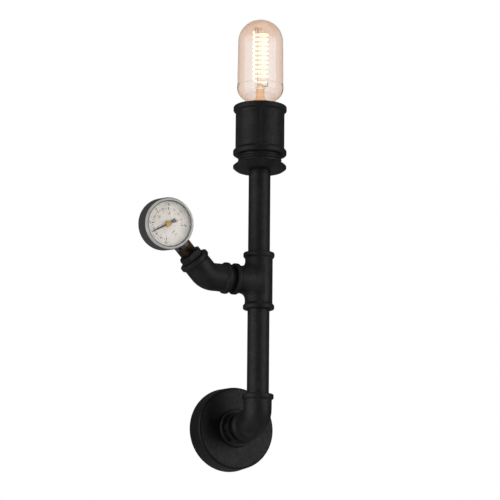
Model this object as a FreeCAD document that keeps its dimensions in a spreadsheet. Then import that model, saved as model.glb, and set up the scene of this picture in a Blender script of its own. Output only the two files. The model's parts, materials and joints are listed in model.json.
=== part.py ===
import FreeCAD, Part
import math
import os
import re

import Sketcher
from FreeCAD import Matrix, Placement, Rotation, Vector

# An industrial pipe wall light: a round canopy, a run of malleable-iron fittings on half-inch pipe,
# a branch with a pressure gauge, and a large socket that holds a lampholder and a tubular bulb.
# Frame: the wall is the plane Y = 0, the light stands out along -Y, +Z is up. The origin is the
# middle of the two wall screws. All sizes are in millimetres and degrees.

SIZES = {
    # canopy and the bracket behind it
    "canopy_radius": 41.0,
    "canopy_draft": 1.05,
    "canopy_depth": 20.3,
    "canopy_wall": 1.5,
    "canopy_round": 2.4,
    "strap_thick": 2.0,
    "strap_width": 14.0,
    "strap_half": 38.0,
    "ear_length": 12.0,
    "strap_disc": 14.0,
    "cable_hole": 8.0,
    "wall_screw_reach": 28.0,
    "wall_screw_hole": 2.25,
    "wing_reach": 36.0,
    "wing_half": 13.0,
    "grub_radius": 2.0,
    "grub_length": 8.0,
    "grub_height": 8.0,
    "grub_sunk": 0.3,
    "key_flats": 2.0,
    "key_depth": 2.2,
    # earth screw, its lug and the terminal block
    "earth_place": 18.0,
    "earth_radius": 2.0,
    "earth_head": 3.6,
    "earth_head_thick": 2.2,
    "lug_radius": 4.2,
    "lug_thick": 0.8,
    "block_width": 15.0,
    "block_tall": 25.0,
    "block_thick": 12.0,
    "block_edge": 19.6,
    "pole_pitch": 8.0,
    "sleeve_radius": 2.6,
    "sleeve_bore": 1.6,
    "sleeve_inset": 0.5,
    "clamp_screw": 1.5,
    "clamp_inset": 3.75,
    "clamp_sunk": 1.0,
    # fits, and what cutters and hexagons share
    "overcut": 1.0,
    "chamfer_slope": 0.6,
    "screw_slot": 0.8,
    "thread_gap": 0.05,
    "running_gap": 0.05,
    "seat_gap": 0.1,
    # half-inch pipe and its fittings
    "pipe_radius": 10.65,
    "pipe_bore": 8.05,
    "thread_depth": 13.0,
    "passage": 8.6,
    "fitting_reach": 28.0,
    "fitting_body": 13.45,
    "fitting_bead": 15.2,
    "bead_width": 5.6,
    "bead_slope": 1.3,
    "bead_round": 1.3,
    "bead_root": 1.8,
    "bend_radius": 15.0,
    "wall_reach": 68.0,
    "nipple_back": 11.0,
    "washer_thick": 1.0,
    "washer_radius": 15.0,
    "back_nut_thick": 5.0,
    "back_nut_flats": 27.0,
    "flange_radius": 18.7,
    "flange_thick": 4.0,
    "flange_round": 1.8,
    "front_nut_thick": 7.0,
    "front_nut_flats": 28.0,
    "tee_height": 138.0,
    "elbow_place": 55.0,
    "angle_reach": 22.0,
    "branch_bend": 45.0,
    "branch_twist": 6.0,
    # lamp cup and what it holds
    "upper_end": 260.5,
    "hex_low": 247.5,
    "hex_thick": 7.6,
    "hex_flats": 45.1,
    "hex_turn": -24.0,
    "neck_radius": 20.95,
    "neck_top": 275.0,
    "cavity_radius": 15.0,
    "cavity_floor": 4.0,
    "cup_low": 262.9,
    "cup_tall": 49.6,
    "cup_body": 24.0,
    "cup_bead": 26.2,
    "cup_bead_width": 6.4,
    "cup_bead_slope": 1.6,
    "cup_bead_round": 1.6,
    "cup_bead_root": 2.0,
    "cup_bore": 20.2,
    "cup_seat_depth": 14.0,
    "plate_radius": 20.5,
    "plate_thick": 1.5,
    "stud_radius": 5.0,
    "stud_bore": 3.6,
    "stud_nut_flats": 14.0,
    "stud_nut_thick": 3.0,
    "stud_below": 1.0,
    "stud_above": 4.0,
    "stud_room": 0.5,
    "holder_radius": 19.0,
    "holder_tall": 33.5,
    "holder_floor": 7.5,
    "holder_bore": 14.6,
    "holder_round": 1.2,
    "shell_thick": 0.5,
    "shell_top_gap": 3.0,
    "contact_width": 6.0,
    "contact_thick": 0.6,
    "contact_place": 9.5,
    "contact_screw": 1.5,
    "contact_screw_head": 2.6,
    "contact_screw_place": 6.2,
    "contact_screw_depth": 3.0,
    "contact_head_tall": 1.2,
    "contact_margin": 0.6,
    "contact_gap": 0.3,
    # bulb
    "cap_bottom": 287.2,
    "cap_radius": 13.2,
    "cap_skin": 0.4,
    "cap_tall": 24.0,
    "cap_tip_radius": 4.6,
    "cap_tip_thick": 1.3,
    "cap_tip_taper": 1.0,
    "insulator_tall": 5.2,
    "insulator_inside": 2.0,
    "insulator_lip": 1.0,
    "insulator_slope": 2.0,
    "glass_top": 400.7,
    "glass_radius": 22.2,
    "glass_low_radius": 22.55,
    "glass_wall": 0.9,
    "shoulder_high": 334.0,
    "shoulder_low": 321.5,
    "shoulder_radius": 17.9,
    "shoulder_round": 13.0,
    "neck_round": 16.0,
    "neck_end": 310.0,
    "neck_glass": 12.7,
    "neck_straight": 5.0,
    "stem_radius": 4.6,
    "stem_top": 336.5,
    "stem_flare": 10.2,
    "stem_low": 1.0,
    "stem_foot": 12.0,
    "stem_root": 2.0,
    "stem_wall": 0.9,
    "press_half": 1.6,
    "rod_radius": 0.8,
    "rod_top": 392.0,
    "rod_cap": 1.44,
    "rod_cap_tall": 1.2,
    "filament_wire": 0.75,
    "filament_radius": 7.2,
    "filament_low": 339.0,
    "filament_pitch": 4.7,
    "filament_turns": 10.5,
    "lead_radius": 0.5,
    "lead_place": 3.4,
    "short_lead_place": 3.5,
    "lead_bend": 1.4,
    "lead_over": 2.5,
    # pressure gauge, in its own frame: Z to the viewer, Y away from the stem
    "gauge_reach": 65.0,
    "gauge_turn": -6.7,
    "adaptor_flats": 21.0,
    "adaptor_hex": 6.5,
    "adaptor_depth": 11.0,
    "adaptor_bore": 6.6,
    "stem_flats": 13.0,
    "stem_short": 1.0,
    "stem_hole": 1.8,
    "shank_gap": 0.5,
    "neck_inset": 0.3,
    "neck_past": 1.5,
    "case_radius": 25.0,
    "case_wall": 1.2,
    "case_back": 9.0,
    "case_front": 9.0,
    "case_round": 2.5,
    "boss_radius": 8.0,
    "boss_root": 8.8,
    "boss_reach": 3.0,
    "boss_sink": 2.5,
    "ring_front": 12.0,
    "ring_setback": 0.75,
    "ring_width": 2.25,
    "ring_lip": 0.4,
    "ring_skirt": 2.5,
    "ring_round": 1.0,
    "ring_edge": 0.6,
    "window_back": 9.7,
    "window_thick": 1.2,
    "dial_gap": 1.2,
    "dial_back": 4.4,
    "dial_thick": 0.6,
    "dial_hole": 1.6,
    "pointer_back": 6.3,
    "pointer_thick": 0.4,
    "pointer_clear": 4.8,
    "pointer_tail": 8.6,
    "pointer_rest": 75.0,
    "needle_half": 0.95,
    "needle_point": 0.35,
    "waist_half": 0.7,
    "waist_place": 2.6,
    "tail_half": 2.3,
    "eye_inset": 0.8,
    "hub_radius": 3.0,
    "hub_front": 8.2,
    "hub_round": 0.6,
    "collar_wall": 0.4,
    "collar_long": 1.0,
    "arbor_past": 0.4,
    "arbor_short": 0.1,
    "arbor_radius": 0.6,
    "plate_gauge": 0.8,
    "back_plate_low": -5.2,
    "movement_radius": 13.0,
    "pillar_radius": 1.3,
    "pillar_inset": 2.6,
    "tongue_inset": 0.5,
    "tongue_drop": 5.0,
    "plate_screw": 0.8,
    "plate_screw_head": 1.5,
    "plate_screw_tall": 0.8,
    "plate_screw_deep": 2.0,
    "plate_screw_place": 3.0,
    "plate_screw_drop": 2.5,
    "plate_screw_slot": 0.4,
    "tooth_module": 0.3,
    "pinion_teeth": 12.0,
    "sector_teeth": 60.0,
    "backlash": 0.1,
    "sector_back": 0.2,
    "sector_thick": 0.8,
    "sector_hub": 1.7,
    "sector_arm": 0.8,
    "sector_eye": 1.2,
    "sector_rim": 0.45,
    "pinion_past": 0.4,
    "tail_reach": 5.0,
    "link_reach": 6.5,
    "link_lean": 60.0,
    "link_back": 1.3,
    "link_thick": 0.7,
    "link_half": 2.2,
    "link_past": 2.4,
    "slot_half": 1.4,
    "slot_back": 3.6,
    "slot_ahead": 1.6,
    "tube_clear": 4.2,
    "tube_deep": 2.2,
    "tube_back": -3.6,
    "tube_front": 1.0,
    "tube_wall": 0.35,
    "tube_start": 255.0,
    "tube_end": -20.0,
    "block_side": 6.0,
    "block_seat": 1.0,
    "block_below_tube": 2.9,
    "block_inner_front": 1.6,
    "pin_radius": 0.5,
    "pin_past": 0.3,
    "tip_thick": 1.6,
    "tip_boss": 1.2,
    "tip_bar": 1.4,
    # the wires inside
    "wire_radius": 1.0,
    "wire_apart": 3.0,
    "wire_back": 8.0,
    "wire_turn": 6.0,
    "wire_grip": 1.0,
    "wire_leave": 2.0,
    "wire_below": 3.0,
    "earth_run": 9.0,
}

doc = FreeCAD.newDocument("PipeWallLight")
sheet = doc.addObject("Spreadsheet::Sheet", "Sizes")
for row, (alias, number) in enumerate(SIZES.items(), start=1):
    sheet.set(f"A{row}", alias)
    sheet.set(f"B{row}", str(number))
    sheet.setAlias(f"B{row}", alias)
doc.recompute()

SUBPARTS = []


# ---- small helpers ------------------------------------------------------------------------------
def bind(text):
    """Point every size name in an expression at its cell."""
    return re.sub(r"[a-z][a-z_]*", lambda m: "Sizes." + m[0] if m[0] in SIZES else m[0], str(text))


def value(text):
    """The present number of an expression."""
    return float(sheet.evalExpression(bind(text)))


def link(item, prop, text):
    item.setExpression(prop, bind(text))


def point(x, y, z):
    return Vector(value(x), value(y), value(z))


def keep(item, name):
    """Name a finished sub-part and put it on the list that is written out."""
    item.Label = name
    SUBPARTS.append(item)
    return item


def place(item, x=0, y=0, z=0, turn=None):
    """Seat an item: a turn about its own origin, then a move bound to the sizes."""
    item.Placement = Placement(point(x, y, z), turn or Rotation())
    for axis, text in zip("xyz", (x, y, z)):
        link(item, f"Placement.Base.{axis}", text)
    return item


def frame(origin, x_axis, y_axis, z_axis):
    """A placement from an origin and three unit axes."""
    rows = Matrix(x_axis.x, y_axis.x, z_axis.x, 0, x_axis.y, y_axis.y, z_axis.y, 0,
                  x_axis.z, y_axis.z, z_axis.z, 0, 0, 0, 0, 1)
    return Placement(origin, Placement(rows).Rotation)


def origin_plane(body, role):
    return next(item for item in body.Origin.OriginFeatures if item.Role == role)


def outline(body, plane, corners, holes=()):
    """A closed sketch. A corner (x, y) ends a straight edge; a corner (x, y, radius, side) ends an
    arc whose centre lies to the left (side 1) or right (side -1) of the way along it."""
    sketch = body.newObject("Sketcher::SketchObject", body.Name + "_sketch")
    sketch.AttachmentSupport = [(origin_plane(body, plane), "")]
    sketch.MapMode = "FlatFace"
    spots = [Vector(value(corner[0]), value(corner[1]), 0) for corner in corners]
    tips = []
    for index, corner in enumerate(corners):
        begin, end = spots[index - 1], spots[index]
        if len(corner) == 2:
            sketch.addGeometry(Part.LineSegment(begin, end), False)
            tips.append((1, 2))
            continue
        radius, side = value(corner[2]), corner[3]
        chord = end - begin
        across = Vector(-chord.y, chord.x, 0).normalize() * side
        centre = (begin + end) * 0.5 + across * math.sqrt(radius ** 2 - (chord.Length / 2) ** 2)
        first, last = (begin, end) if side > 0 else (end, begin)
        low = math.atan2(first.y - centre.y, first.x - centre.x)
        high = math.atan2(last.y - centre.y, last.x - centre.x)
        sketch.addGeometry(Part.ArcOfCircle(Part.Circle(centre, Vector(0, 0, 1), radius), low, high), False)
        tips.append((1, 2) if side > 0 else (2, 1))
    count = len(corners)
    for index in range(count):
        after = (index + 1) % count
        sketch.addConstraint(Sketcher.Constraint("Coincident", index, tips[index][1], after, tips[after][0]))
    for index, corner in enumerate(corners):
        spot = spots[index]
        for kind, number, text in (("DistanceX", spot.x, corner[0]), ("DistanceY", spot.y, corner[1])):
            rule = sketch.addConstraint(Sketcher.Constraint(kind, -1, 1, index, tips[index][1], number))
            link(sketch, f"Constraints[{rule}]", text)
        if len(corner) == 4:
            rule = sketch.addConstraint(Sketcher.Constraint("Radius", index, value(corner[2])))
            link(sketch, f"Constraints[{rule}]", corner[2])
    for x, y, radius in holes:
        centre = Vector(value(x), value(y), 0)
        ring = sketch.addGeometry(Part.Circle(centre, Vector(0, 0, 1), value(radius)), False)
        rules = (("DistanceX", (-1, 1, ring, 3, centre.x), x), ("DistanceY", (-1, 1, ring, 3, centre.y), y),
                 ("Radius", (ring, value(radius)), radius))
        for kind, where, text in rules:
            rule = sketch.addConstraint(Sketcher.Constraint(kind, *where))
            link(sketch, f"Constraints[{rule}]", text)
    return sketch


def softened(body, size, rings, kind="Fillet"):
    """Round or chamfer the circular edges at the given (radius, height) of a turned body."""
    doc.recompute()
    wanted = [(value(radius), value(height)) for radius, height in rings]
    names = []
    for index, edge in enumerate(body.Tip.Shape.Edges, start=1):
        if not isinstance(edge.Curve, Part.Circle):
            continue
        here = (edge.Curve.Radius, edge.Curve.Center.z)
        if any(abs(here[0] - radius) < 1e-4 and abs(here[1] - height) < 1e-4 for radius, height in wanted):
            names.append(f"Edge{index}")
    base = body.Tip
    finish = body.newObject("PartDesign::" + kind, f"{body.Name}_{kind.lower()}")
    finish.Base = (base, names)
    link(finish, "Radius" if kind == "Fillet" else "Size", size)
    body.Tip = finish
    return body


def turned(name, corners):
    """A body turned about Z from (radius, height) corners."""
    body = doc.addObject("PartDesign::Body", name)
    sketch = outline(body, "XZ_Plane", corners)
    solid = body.newObject("PartDesign::Revolution", name + "_turn")
    solid.Profile = sketch
    solid.ReferenceAxis = (sketch, ["V_Axis"])
    solid.Angle = 360
    sketch.Visibility = False
    return body


def tube(name, outer, inner, low, high):
    return turned(name, [(inner, low), (outer, low), (outer, high), (inner, high)])


def padded(name, plane, corners, length, holes=()):
    """A flat body: a sketch on one of the origin planes, made solid by a length."""
    body = doc.addObject("PartDesign::Body", name)
    sketch = outline(body, plane, corners, holes)
    solid = body.newObject("PartDesign::Pad", name + "_pad")
    solid.Profile = sketch
    link(solid, "Length", length)
    return body


def rod(name, radius, low, high, x=0, y=0, turn=None):
    """A plain round bar from low to high along its axis."""
    bar = doc.addObject("Part::Cylinder", name)
    link(bar, "Radius", radius)
    link(bar, "Height", f"({high}) - ({low})")
    if turn is None:
        return place(bar, x, y, low)
    return place(bar, x, y, low, turn)


def block(name, low, high):
    """A box between two corners."""
    item = doc.addObject("Part::Box", name)
    for side, a, b in zip(("Length", "Width", "Height"), low, high):
        link(item, side, f"({b}) - ({a})")
    return place(item, *low)


def joined(name, pieces):
    item = doc.addObject("Part::MultiFuse", name)
    item.Shapes = pieces
    return item


def group(name, pieces):
    """Separate solids kept together in one sub-part."""
    item = doc.addObject("Part::Compound", name)
    item.Links = pieces
    return item


def less(name, base, tools):
    """What is left of a base when the tools are cut away."""
    item = doc.addObject("Part::Cut", name)
    item.Base = base
    item.Tool = tools[0] if len(tools) == 1 else joined(name + "_tools", tools)
    return item


def hexed(name, blank, flats, low, high):
    """Cut six flats on a turned blank between two heights."""
    prism = doc.addObject("Part::Prism", name + "_flats")
    prism.Polygon = 6
    link(prism, "Circumradius", f"({flats}) / sqrt(3)")
    link(prism, "Height", f"({high}) - ({low})")
    place(prism, 0, 0, low)
    round_stock = rod(name + "_stock", flats, low, high)
    return less(name, blank, [less(name + "_waste", round_stock, [prism])])


def solid_feature(name, shape):
    """A sub-part whose shape is worked out here from the sizes."""
    item = doc.addObject("Part::Feature", name)
    item.Shape = Part.Compound([shape])
    return item


X, Y, Z = Vector(1, 0, 0), Vector(0, 1, 0), Vector(0, 0, 1)
OUT_OF_WALL = Rotation(X, 90)
ALONG_BRANCH = Rotation(Y, -90)


# ---- canopy and what fastens it to the wall ------------------------------------------------------
CANOPY_INNER = "(canopy_depth - canopy_wall)"
EAR_TIP = "strap_half - strap_thick"


def canopy():
    """A drawn steel cup, open towards the wall, with a hole for the nipple and two for grub screws."""
    front = "canopy_radius - canopy_draft"
    shell = turned("canopy_shell", [
        ("canopy_radius - canopy_wall", 0), ("canopy_radius", 0), (front, "canopy_depth"),
        ("pipe_radius + seat_gap", "canopy_depth"), ("pipe_radius + seat_gap", CANOPY_INNER),
        (f"{front} - canopy_wall", CANOPY_INNER)])
    softened(shell, "canopy_round", [(front, "canopy_depth")])
    softened(shell, "canopy_round - canopy_wall", [(f"{front} - canopy_wall", CANOPY_INNER)])
    drill = rod("canopy_drill", "grub_radius + seat_gap", "-canopy_radius - overcut",
                "canopy_radius + overcut")
    place(drill, 0, "-canopy_radius - overcut", "grub_height", Rotation(X, -90))
    return place(keep(less("canopy", shell, [drill]), "canopy"), turn=OUT_OF_WALL)


def wall_bracket():
    """A strap bent forward at both ends, with a disc round the cable hole and a wing to the left."""
    profile = [(0, "-strap_half"), ("-ear_length", "-strap_half"), ("-ear_length", f"-({EAR_TIP})"),
               ("-strap_thick", f"-({EAR_TIP})"), ("-strap_thick", EAR_TIP), ("-ear_length", EAR_TIP),
               ("-ear_length", "strap_half"), (0, "strap_half")]
    strap = padded("strap", "YZ_Plane", profile, "strap_width")
    place(strap, "-strap_width / 2")
    disc = place(rod("strap_centre", "strap_disc", 0, "strap_thick"), turn=OUT_OF_WALL)
    wing = block("strap_wing", ("-wing_reach", "-strap_thick", "-wing_half"), (0, 0, "wing_half"))
    drills = []
    for name, radius, height in (("cable", "cable_hole", 0), ("upper", "wall_screw_hole", "wall_screw_reach"),
                                 ("lower", "wall_screw_hole", "-wall_screw_reach"),
                                 ("earth", "earth_radius + thread_gap", "-earth_place")):
        drill = rod(f"{name}_drill", radius, 0, "strap_thick + 2 * overcut")
        drills.append(place(drill, 0, "overcut", height, OUT_OF_WALL))
    taps = rod("ear_drill", "grub_radius + thread_gap", "-strap_half - overcut", "strap_half + overcut", 0,
               "-grub_height")
    return keep(less("wall_bracket", joined("bracket_blank", [strap, disc, wing]), drills + [taps]),
                "wall_bracket")


def canopy_screws():
    """Two hexagon-socket grub screws, set flush in the rim, one above and one below."""
    outer = "canopy_radius - canopy_draft * grub_height / canopy_depth - grub_sunk"
    pair = []
    for side, turn in (("upper", Rotation()), ("lower", Rotation(X, 180))):
        shank = rod(f"grub_{side}", "grub_radius", 0, "grub_length")
        key = doc.addObject("Part::Prism", f"grub_key_{side}")
        key.Polygon = 6
        link(key, "Circumradius", "key_flats / sqrt(3)")
        link(key, "Height", "key_depth")
        place(key, 0, 0, "grub_length - key_depth")
        screw = less(f"grub_screw_{side}", shank, [key])
        sign = "" if side == "upper" else "-"
        pair.append(place(screw, 0, "-grub_height", f"{sign}(({outer}) - grub_length)", turn))
    return keep(group("canopy_screws", pair), "canopy_screws")


HEAD_ROUND = 0.4
SLOT_FLOOR = 0.55


def screw(name, radius, head_radius, head, length, slot="screw_slot"):
    """A pan-head screw that stands on Z = 0, its head above and its shank below. The shares of the
    head's height are its rounding and what is left below its slot."""
    solid = turned(name + "_turned", [(0, f"-({length})"), (radius, f"-({length})"), (radius, 0),
                                      (head_radius, 0), (head_radius, head), (0, head)])
    softened(solid, f"({head}) * {HEAD_ROUND}", [(head_radius, head)])
    groove = block(name + "_slot", (f"-({slot}) / 2", f"-({head_radius})", f"({head}) * {SLOT_FLOOR}"),
                   (f"({slot}) / 2", head_radius, f"({head}) + overcut"))
    return less(name, solid, [groove])


def earth_parts():
    """The earth screw in the strap and the ring lug under its head."""
    bolt = screw("earth_bolt", "earth_radius", "earth_head", "earth_head_thick", "strap_thick + lug_thick")
    place(keep(bolt, "earth_screw"), 0, "-strap_thick - lug_thick", "-earth_place", OUT_OF_WALL)
    lug = tube("earth_ring", "lug_radius", "earth_radius + seat_gap", 0, "lug_thick")
    place(keep(lug, "earth_lug"), 0, "-strap_thick", "-earth_place", OUT_OF_WALL)


BLOCK_FAR = "block_edge + block_width"
POLES = ("pole_pitch", "0", "-pole_pitch")


def terminal_block():
    """A three-pole screw terminal block on the bracket's wing: body, brass sleeves and clamp screws."""
    back, front = "-strap_thick", "-strap_thick - block_thick"
    blank = block("block_body", (f"-({BLOCK_FAR})", front, "-block_tall / 2"),
                  ("-block_edge", back, "block_tall / 2"))
    deep = "block_thick + strap_thick - wire_back - wire_radius - clamp_sunk"
    bores, sleeves, screws = [], [], []
    for index, height in enumerate(POLES):
        bore = rod(f"pole_bore_{index}", "sleeve_radius", 0, "block_width + 2 * overcut")
        bores.append(place(bore, "-block_edge + overcut", "-wire_back", height, ALONG_BRANCH))
        long = "block_width - 2 * sleeve_inset"
        barrel = tube(f"pole_sleeve_{index}", "sleeve_radius", "sleeve_bore", 0, long)
        place(barrel, "-block_edge - sleeve_inset", "-wire_back", height, ALONG_BRANCH)
        for side, spot in enumerate(("clamp_inset", "block_width - clamp_inset")):
            across = f"-block_edge - ({spot})"
            well, tap = [place(rod(f"clamp_{tag}_{index}_{side}", "clamp_screw + thread_gap", 0, "block_thick"),
                               across, "-wire_back", height, OUT_OF_WALL) for tag in ("well", "tap")]
            bores.append(well)
            barrel = less(f"sleeve_tapped_{index}_{side}", barrel, [tap])
            pin = rod(f"clamp_pin_{index}_{side}", "clamp_screw", 0, deep)
            screws.append(place(pin, across, "-wire_back - wire_radius - seat_gap", height, OUT_OF_WALL))
        sleeves.append(barrel)
    keep(less("terminal_block", blank, bores), "terminal_block")
    keep(group("terminal_sleeves", sleeves), "terminal_sleeves")
    keep(group("terminal_screws", screws), "terminal_screws")


# ---- pipes, nuts and fittings ---------------------------------------------------------------------
def nut(name, flats, thick, hole):
    """A hexagon nut with both faces chamfered, on Z = 0."""
    corner = f"({flats}) / sqrt(3)"
    lean = f"(({corner}) - ({flats}) / 2) * chamfer_slope"
    blank = turned(name + "_blank", [(hole, 0), (f"({flats}) / 2", 0), (corner, lean),
                                     (corner, f"({thick}) - {lean}"), (f"({flats}) / 2", thick), (hole, thick)])
    return hexed(name + "_nut", blank, flats, 0, thick)


def wall_stack():
    """The nipple through the canopy, with the washer, locknuts and cover flange that clamp it."""
    inner = CANOPY_INNER
    seat = f"{inner} - washer_thick - back_nut_thick"
    hole = "pipe_radius + thread_gap"
    nipple_end = "wall_reach - fitting_reach + thread_depth"
    nipple = tube("wall_nipple_pipe", "pipe_radius", "pipe_bore", "nipple_back", nipple_end)
    place(keep(nipple, "wall_nipple"), turn=OUT_OF_WALL)
    back = nut("back_locknut", "back_nut_flats", "back_nut_thick", hole)
    place(keep(back, "back_locknut"), 0, f"-({seat})", 0, OUT_OF_WALL)
    washer = tube("lock_washer_ring", "washer_radius", hole, f"{inner} - washer_thick", inner)
    place(keep(washer, "lock_washer"), turn=OUT_OF_WALL)
    flange = tube("hub_flange_ring", "flange_radius", hole, 0, "flange_thick")
    softened(flange, "flange_round", [("flange_radius", "flange_thick")])
    place(keep(flange, "hub_flange"), 0, "-canopy_depth", 0, OUT_OF_WALL)
    front = nut("front_locknut", "front_nut_flats", "front_nut_thick", hole)
    place(keep(front, "front_locknut"), 0, "-canopy_depth - flange_thick", 0, OUT_OF_WALL)


def arm(name, length):
    """One arm of a fitting from its bend or middle to its beaded end."""
    bead_low = f"({length}) - bead_width"
    bead_full = f"{bead_low} + bead_slope"
    solid = turned(name, [(0, 0), ("fitting_body", 0), ("fitting_body", bead_low), ("fitting_bead", bead_full),
                          ("fitting_bead", length), (0, length)])
    softened(solid, "bead_round", [("fitting_bead", bead_full), ("fitting_bead", length)])
    return softened(solid, "bead_root", [("fitting_body", bead_low)])


def arm_bore(name, length):
    """The hollow of one arm: the passage and the threaded socket."""
    socket = "pipe_radius + thread_gap"
    return turned(name, [(0, 0), ("passage", 0), ("passage", f"({length}) - thread_depth"),
                         (socket, f"({length}) - thread_depth"), (socket, f"({length}) + overcut"),
                         (0, f"({length}) + overcut")])


def ring_segment(name, bend, radius, drop):
    """A quarter or eighth of a ring: the bend of an elbow, or of its passage."""
    ring = doc.addObject("Part::Torus", name)
    link(ring, "Radius1", "bend_radius")
    link(ring, "Radius2", radius)
    link(ring, "Angle3", bend)
    ring.Placement = Placement(point("bend_radius", 0, f"-({drop})"), Rotation(X, -90) * Rotation(Z, 180))
    for axis, text in (("x", "bend_radius"), ("z", f"-({drop})")):
        link(ring, f"Placement.Base.{axis}", text)
    return ring


def elbow(name, bend, reach):
    """A fitting with one arm down -Z and one leaning from +Z towards +X by the bend."""
    drop = f"bend_radius * tan(({bend}) / 2)"
    length = f"({reach}) - {drop}"
    lean = Rotation(Y, value(bend))
    solids, hollows = [ring_segment(name + "_bend", bend, "fitting_body", drop)], []
    hollows.append(ring_segment(name + "_turn", bend, "passage", drop))
    for tag, make, group in (("arm", arm, solids), ("bore", arm_bore, hollows)):
        group.append(place(make(f"{name}_{tag}_first", length), 0, 0, f"-({drop})", Rotation(X, 180)))
        second = make(f"{name}_{tag}_second", length)
        group.append(place(second, f"({drop}) * sin({bend})", 0, f"({drop}) * cos({bend})", lean))
    return less(name, joined(name + "_solid", solids), hollows)


def base_elbow():
    fitting = keep(elbow("base_elbow", "90", "fitting_reach"), "base_elbow")
    fitting.Placement = frame(point(0, "-wall_reach", 0), Z, -X, -Y)


def tee():
    solids, hollows = [], []
    turns = (Rotation(), Rotation(X, 180), ALONG_BRANCH)
    for index, turn in enumerate(turns):
        solids.append(place(arm(f"tee_arm_{index}", "fitting_reach"), turn=turn))
        hollows.append(place(arm_bore(f"tee_bore_{index}", "fitting_reach"), turn=turn))
    fitting = keep(less("tee", joined("tee_solid", solids), hollows), "tee")
    place(fitting, 0, "-wall_reach", "tee_height")


def pipes():
    """The two straight runs and the close nipple of the branch."""
    axis = "-wall_reach"
    low, high = "fitting_reach - thread_depth", "tee_height - fitting_reach + thread_depth"
    place(keep(tube("lower_run", "pipe_radius", "pipe_bore", low, high), "lower_pipe"), 0, axis)
    low, high = "tee_height + fitting_reach - thread_depth", "upper_end"
    place(keep(tube("upper_run", "pipe_radius", "pipe_bore", low, high), "upper_pipe"), 0, axis)
    near = "fitting_reach - thread_depth"
    far = "elbow_place - angle_reach + thread_depth"
    close = tube("close_nipple", "pipe_radius", "pipe_bore", near, far)
    place(keep(close, "branch_nipple"), 0, axis, "tee_height", ALONG_BRANCH)


# The 45 degree elbow leans its free arm up and to the left, turned a little out of the wall's plane.
TWIST = math.radians(value("branch_twist"))
BEND = math.radians(value("branch_bend"))
LEAN_UP = Vector(0, -math.sin(TWIST), math.cos(TWIST))
LEAN_OVER = Vector(0, math.cos(TWIST), math.sin(TWIST))
ELBOW_SPOT = point("-elbow_place", "-wall_reach", "tee_height")
ARM_WAY = -X * math.cos(BEND) + LEAN_UP * math.sin(BEND)


def branch_elbow():
    fitting = keep(elbow("branch_elbow", "branch_bend", "angle_reach"), "branch_elbow")
    fitting.Placement = frame(ELBOW_SPOT, LEAN_UP, LEAN_OVER, -X)


# ---- lamp cup, lampholder and bulb ------------------------------------------------------------------
PLATE_TOP = "neck_top + plate_thick"
FLOOR_TOP = f"{PLATE_TOP} + holder_floor"


def reducing_bushing():
    """A hexagon bushing that screws into the cup and takes the upper pipe from below."""
    hex_top = "hex_low + hex_thick"
    corner = "hex_flats / sqrt(3)"
    lean = "(hex_flats / sqrt(3) - hex_flats / 2) * chamfer_slope"
    socket = "pipe_radius + thread_gap"
    shelf = "upper_end + cavity_floor"
    blank = turned("bushing_blank", [
        (socket, "hex_low"), ("hex_flats / 2", "hex_low"), (corner, f"hex_low + {lean}"),
        (corner, f"{hex_top} - {lean}"), ("hex_flats / 2", hex_top), ("neck_radius", hex_top),
        ("neck_radius", "neck_top"), ("cavity_radius", "neck_top"), ("cavity_radius", shelf),
        ("passage", shelf), ("passage", "upper_end"), (socket, "upper_end")])
    piece = hexed("bushing", blank, "hex_flats", "hex_low", hex_top)
    place(keep(piece, "reducing_bushing"), 0, "-wall_reach", 0, Rotation(Z, value("hex_turn")))


def lamp_cup():
    """The big beaded coupling that serves as the lamp's cup."""
    top = "cup_low + cup_tall"
    bead_low, bead_high = "cup_low + cup_bead_width", f"{top} - cup_bead_width"
    full_low, full_high = f"{bead_low} - cup_bead_slope", f"{bead_high} + cup_bead_slope"
    seat = "neck_radius + thread_gap"
    solid = turned("lamp_cup_turned", [
        (seat, "cup_low"), ("cup_bead", "cup_low"), ("cup_bead", full_low), ("cup_body", bead_low),
        ("cup_body", bead_high), ("cup_bead", full_high), ("cup_bead", top), (seat, top),
        (seat, f"{top} - cup_seat_depth"), ("cup_bore", f"{top} - cup_seat_depth"),
        ("cup_bore", "neck_top + plate_thick + seat_gap"), (seat, "neck_top + plate_thick + seat_gap")])
    softened(solid, "cup_bead_round", [("cup_bead", "cup_low"), ("cup_bead", full_low), ("cup_bead", full_high),
                                       ("cup_bead", top)])
    softened(solid, "cup_bead_root", [("cup_body", bead_low), ("cup_body", bead_high)])
    place(keep(solid, "lamp_cup"), 0, "-wall_reach")


def holder_mount():
    """The round plate on the bushing, the threaded stud through it and the nut underneath."""
    axis = "-wall_reach"
    disc = tube("holder_disc", "plate_radius", "stud_radius + thread_gap", "neck_top", PLATE_TOP)
    drills = [rod(f"plate_way_{index}", "wire_radius + seat_gap", "neck_top - overcut",
                  f"{PLATE_TOP} + overcut", 0, out) for index, out in enumerate(("contact_place", "-contact_place"))]
    place(keep(less("holder_plate", disc, drills), "holder_plate"), 0, axis)
    stud = tube("holder_stud_tube", "stud_radius", "stud_bore", "neck_top - stud_nut_thick - stud_below",
                f"{PLATE_TOP} + stud_above")
    place(keep(stud, "holder_stud"), 0, axis)
    under = nut("stud_nut", "stud_nut_flats", "stud_nut_thick", "stud_radius + thread_gap")
    place(keep(under, "stud_nut"), 0, axis, "neck_top - stud_nut_thick")


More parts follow.
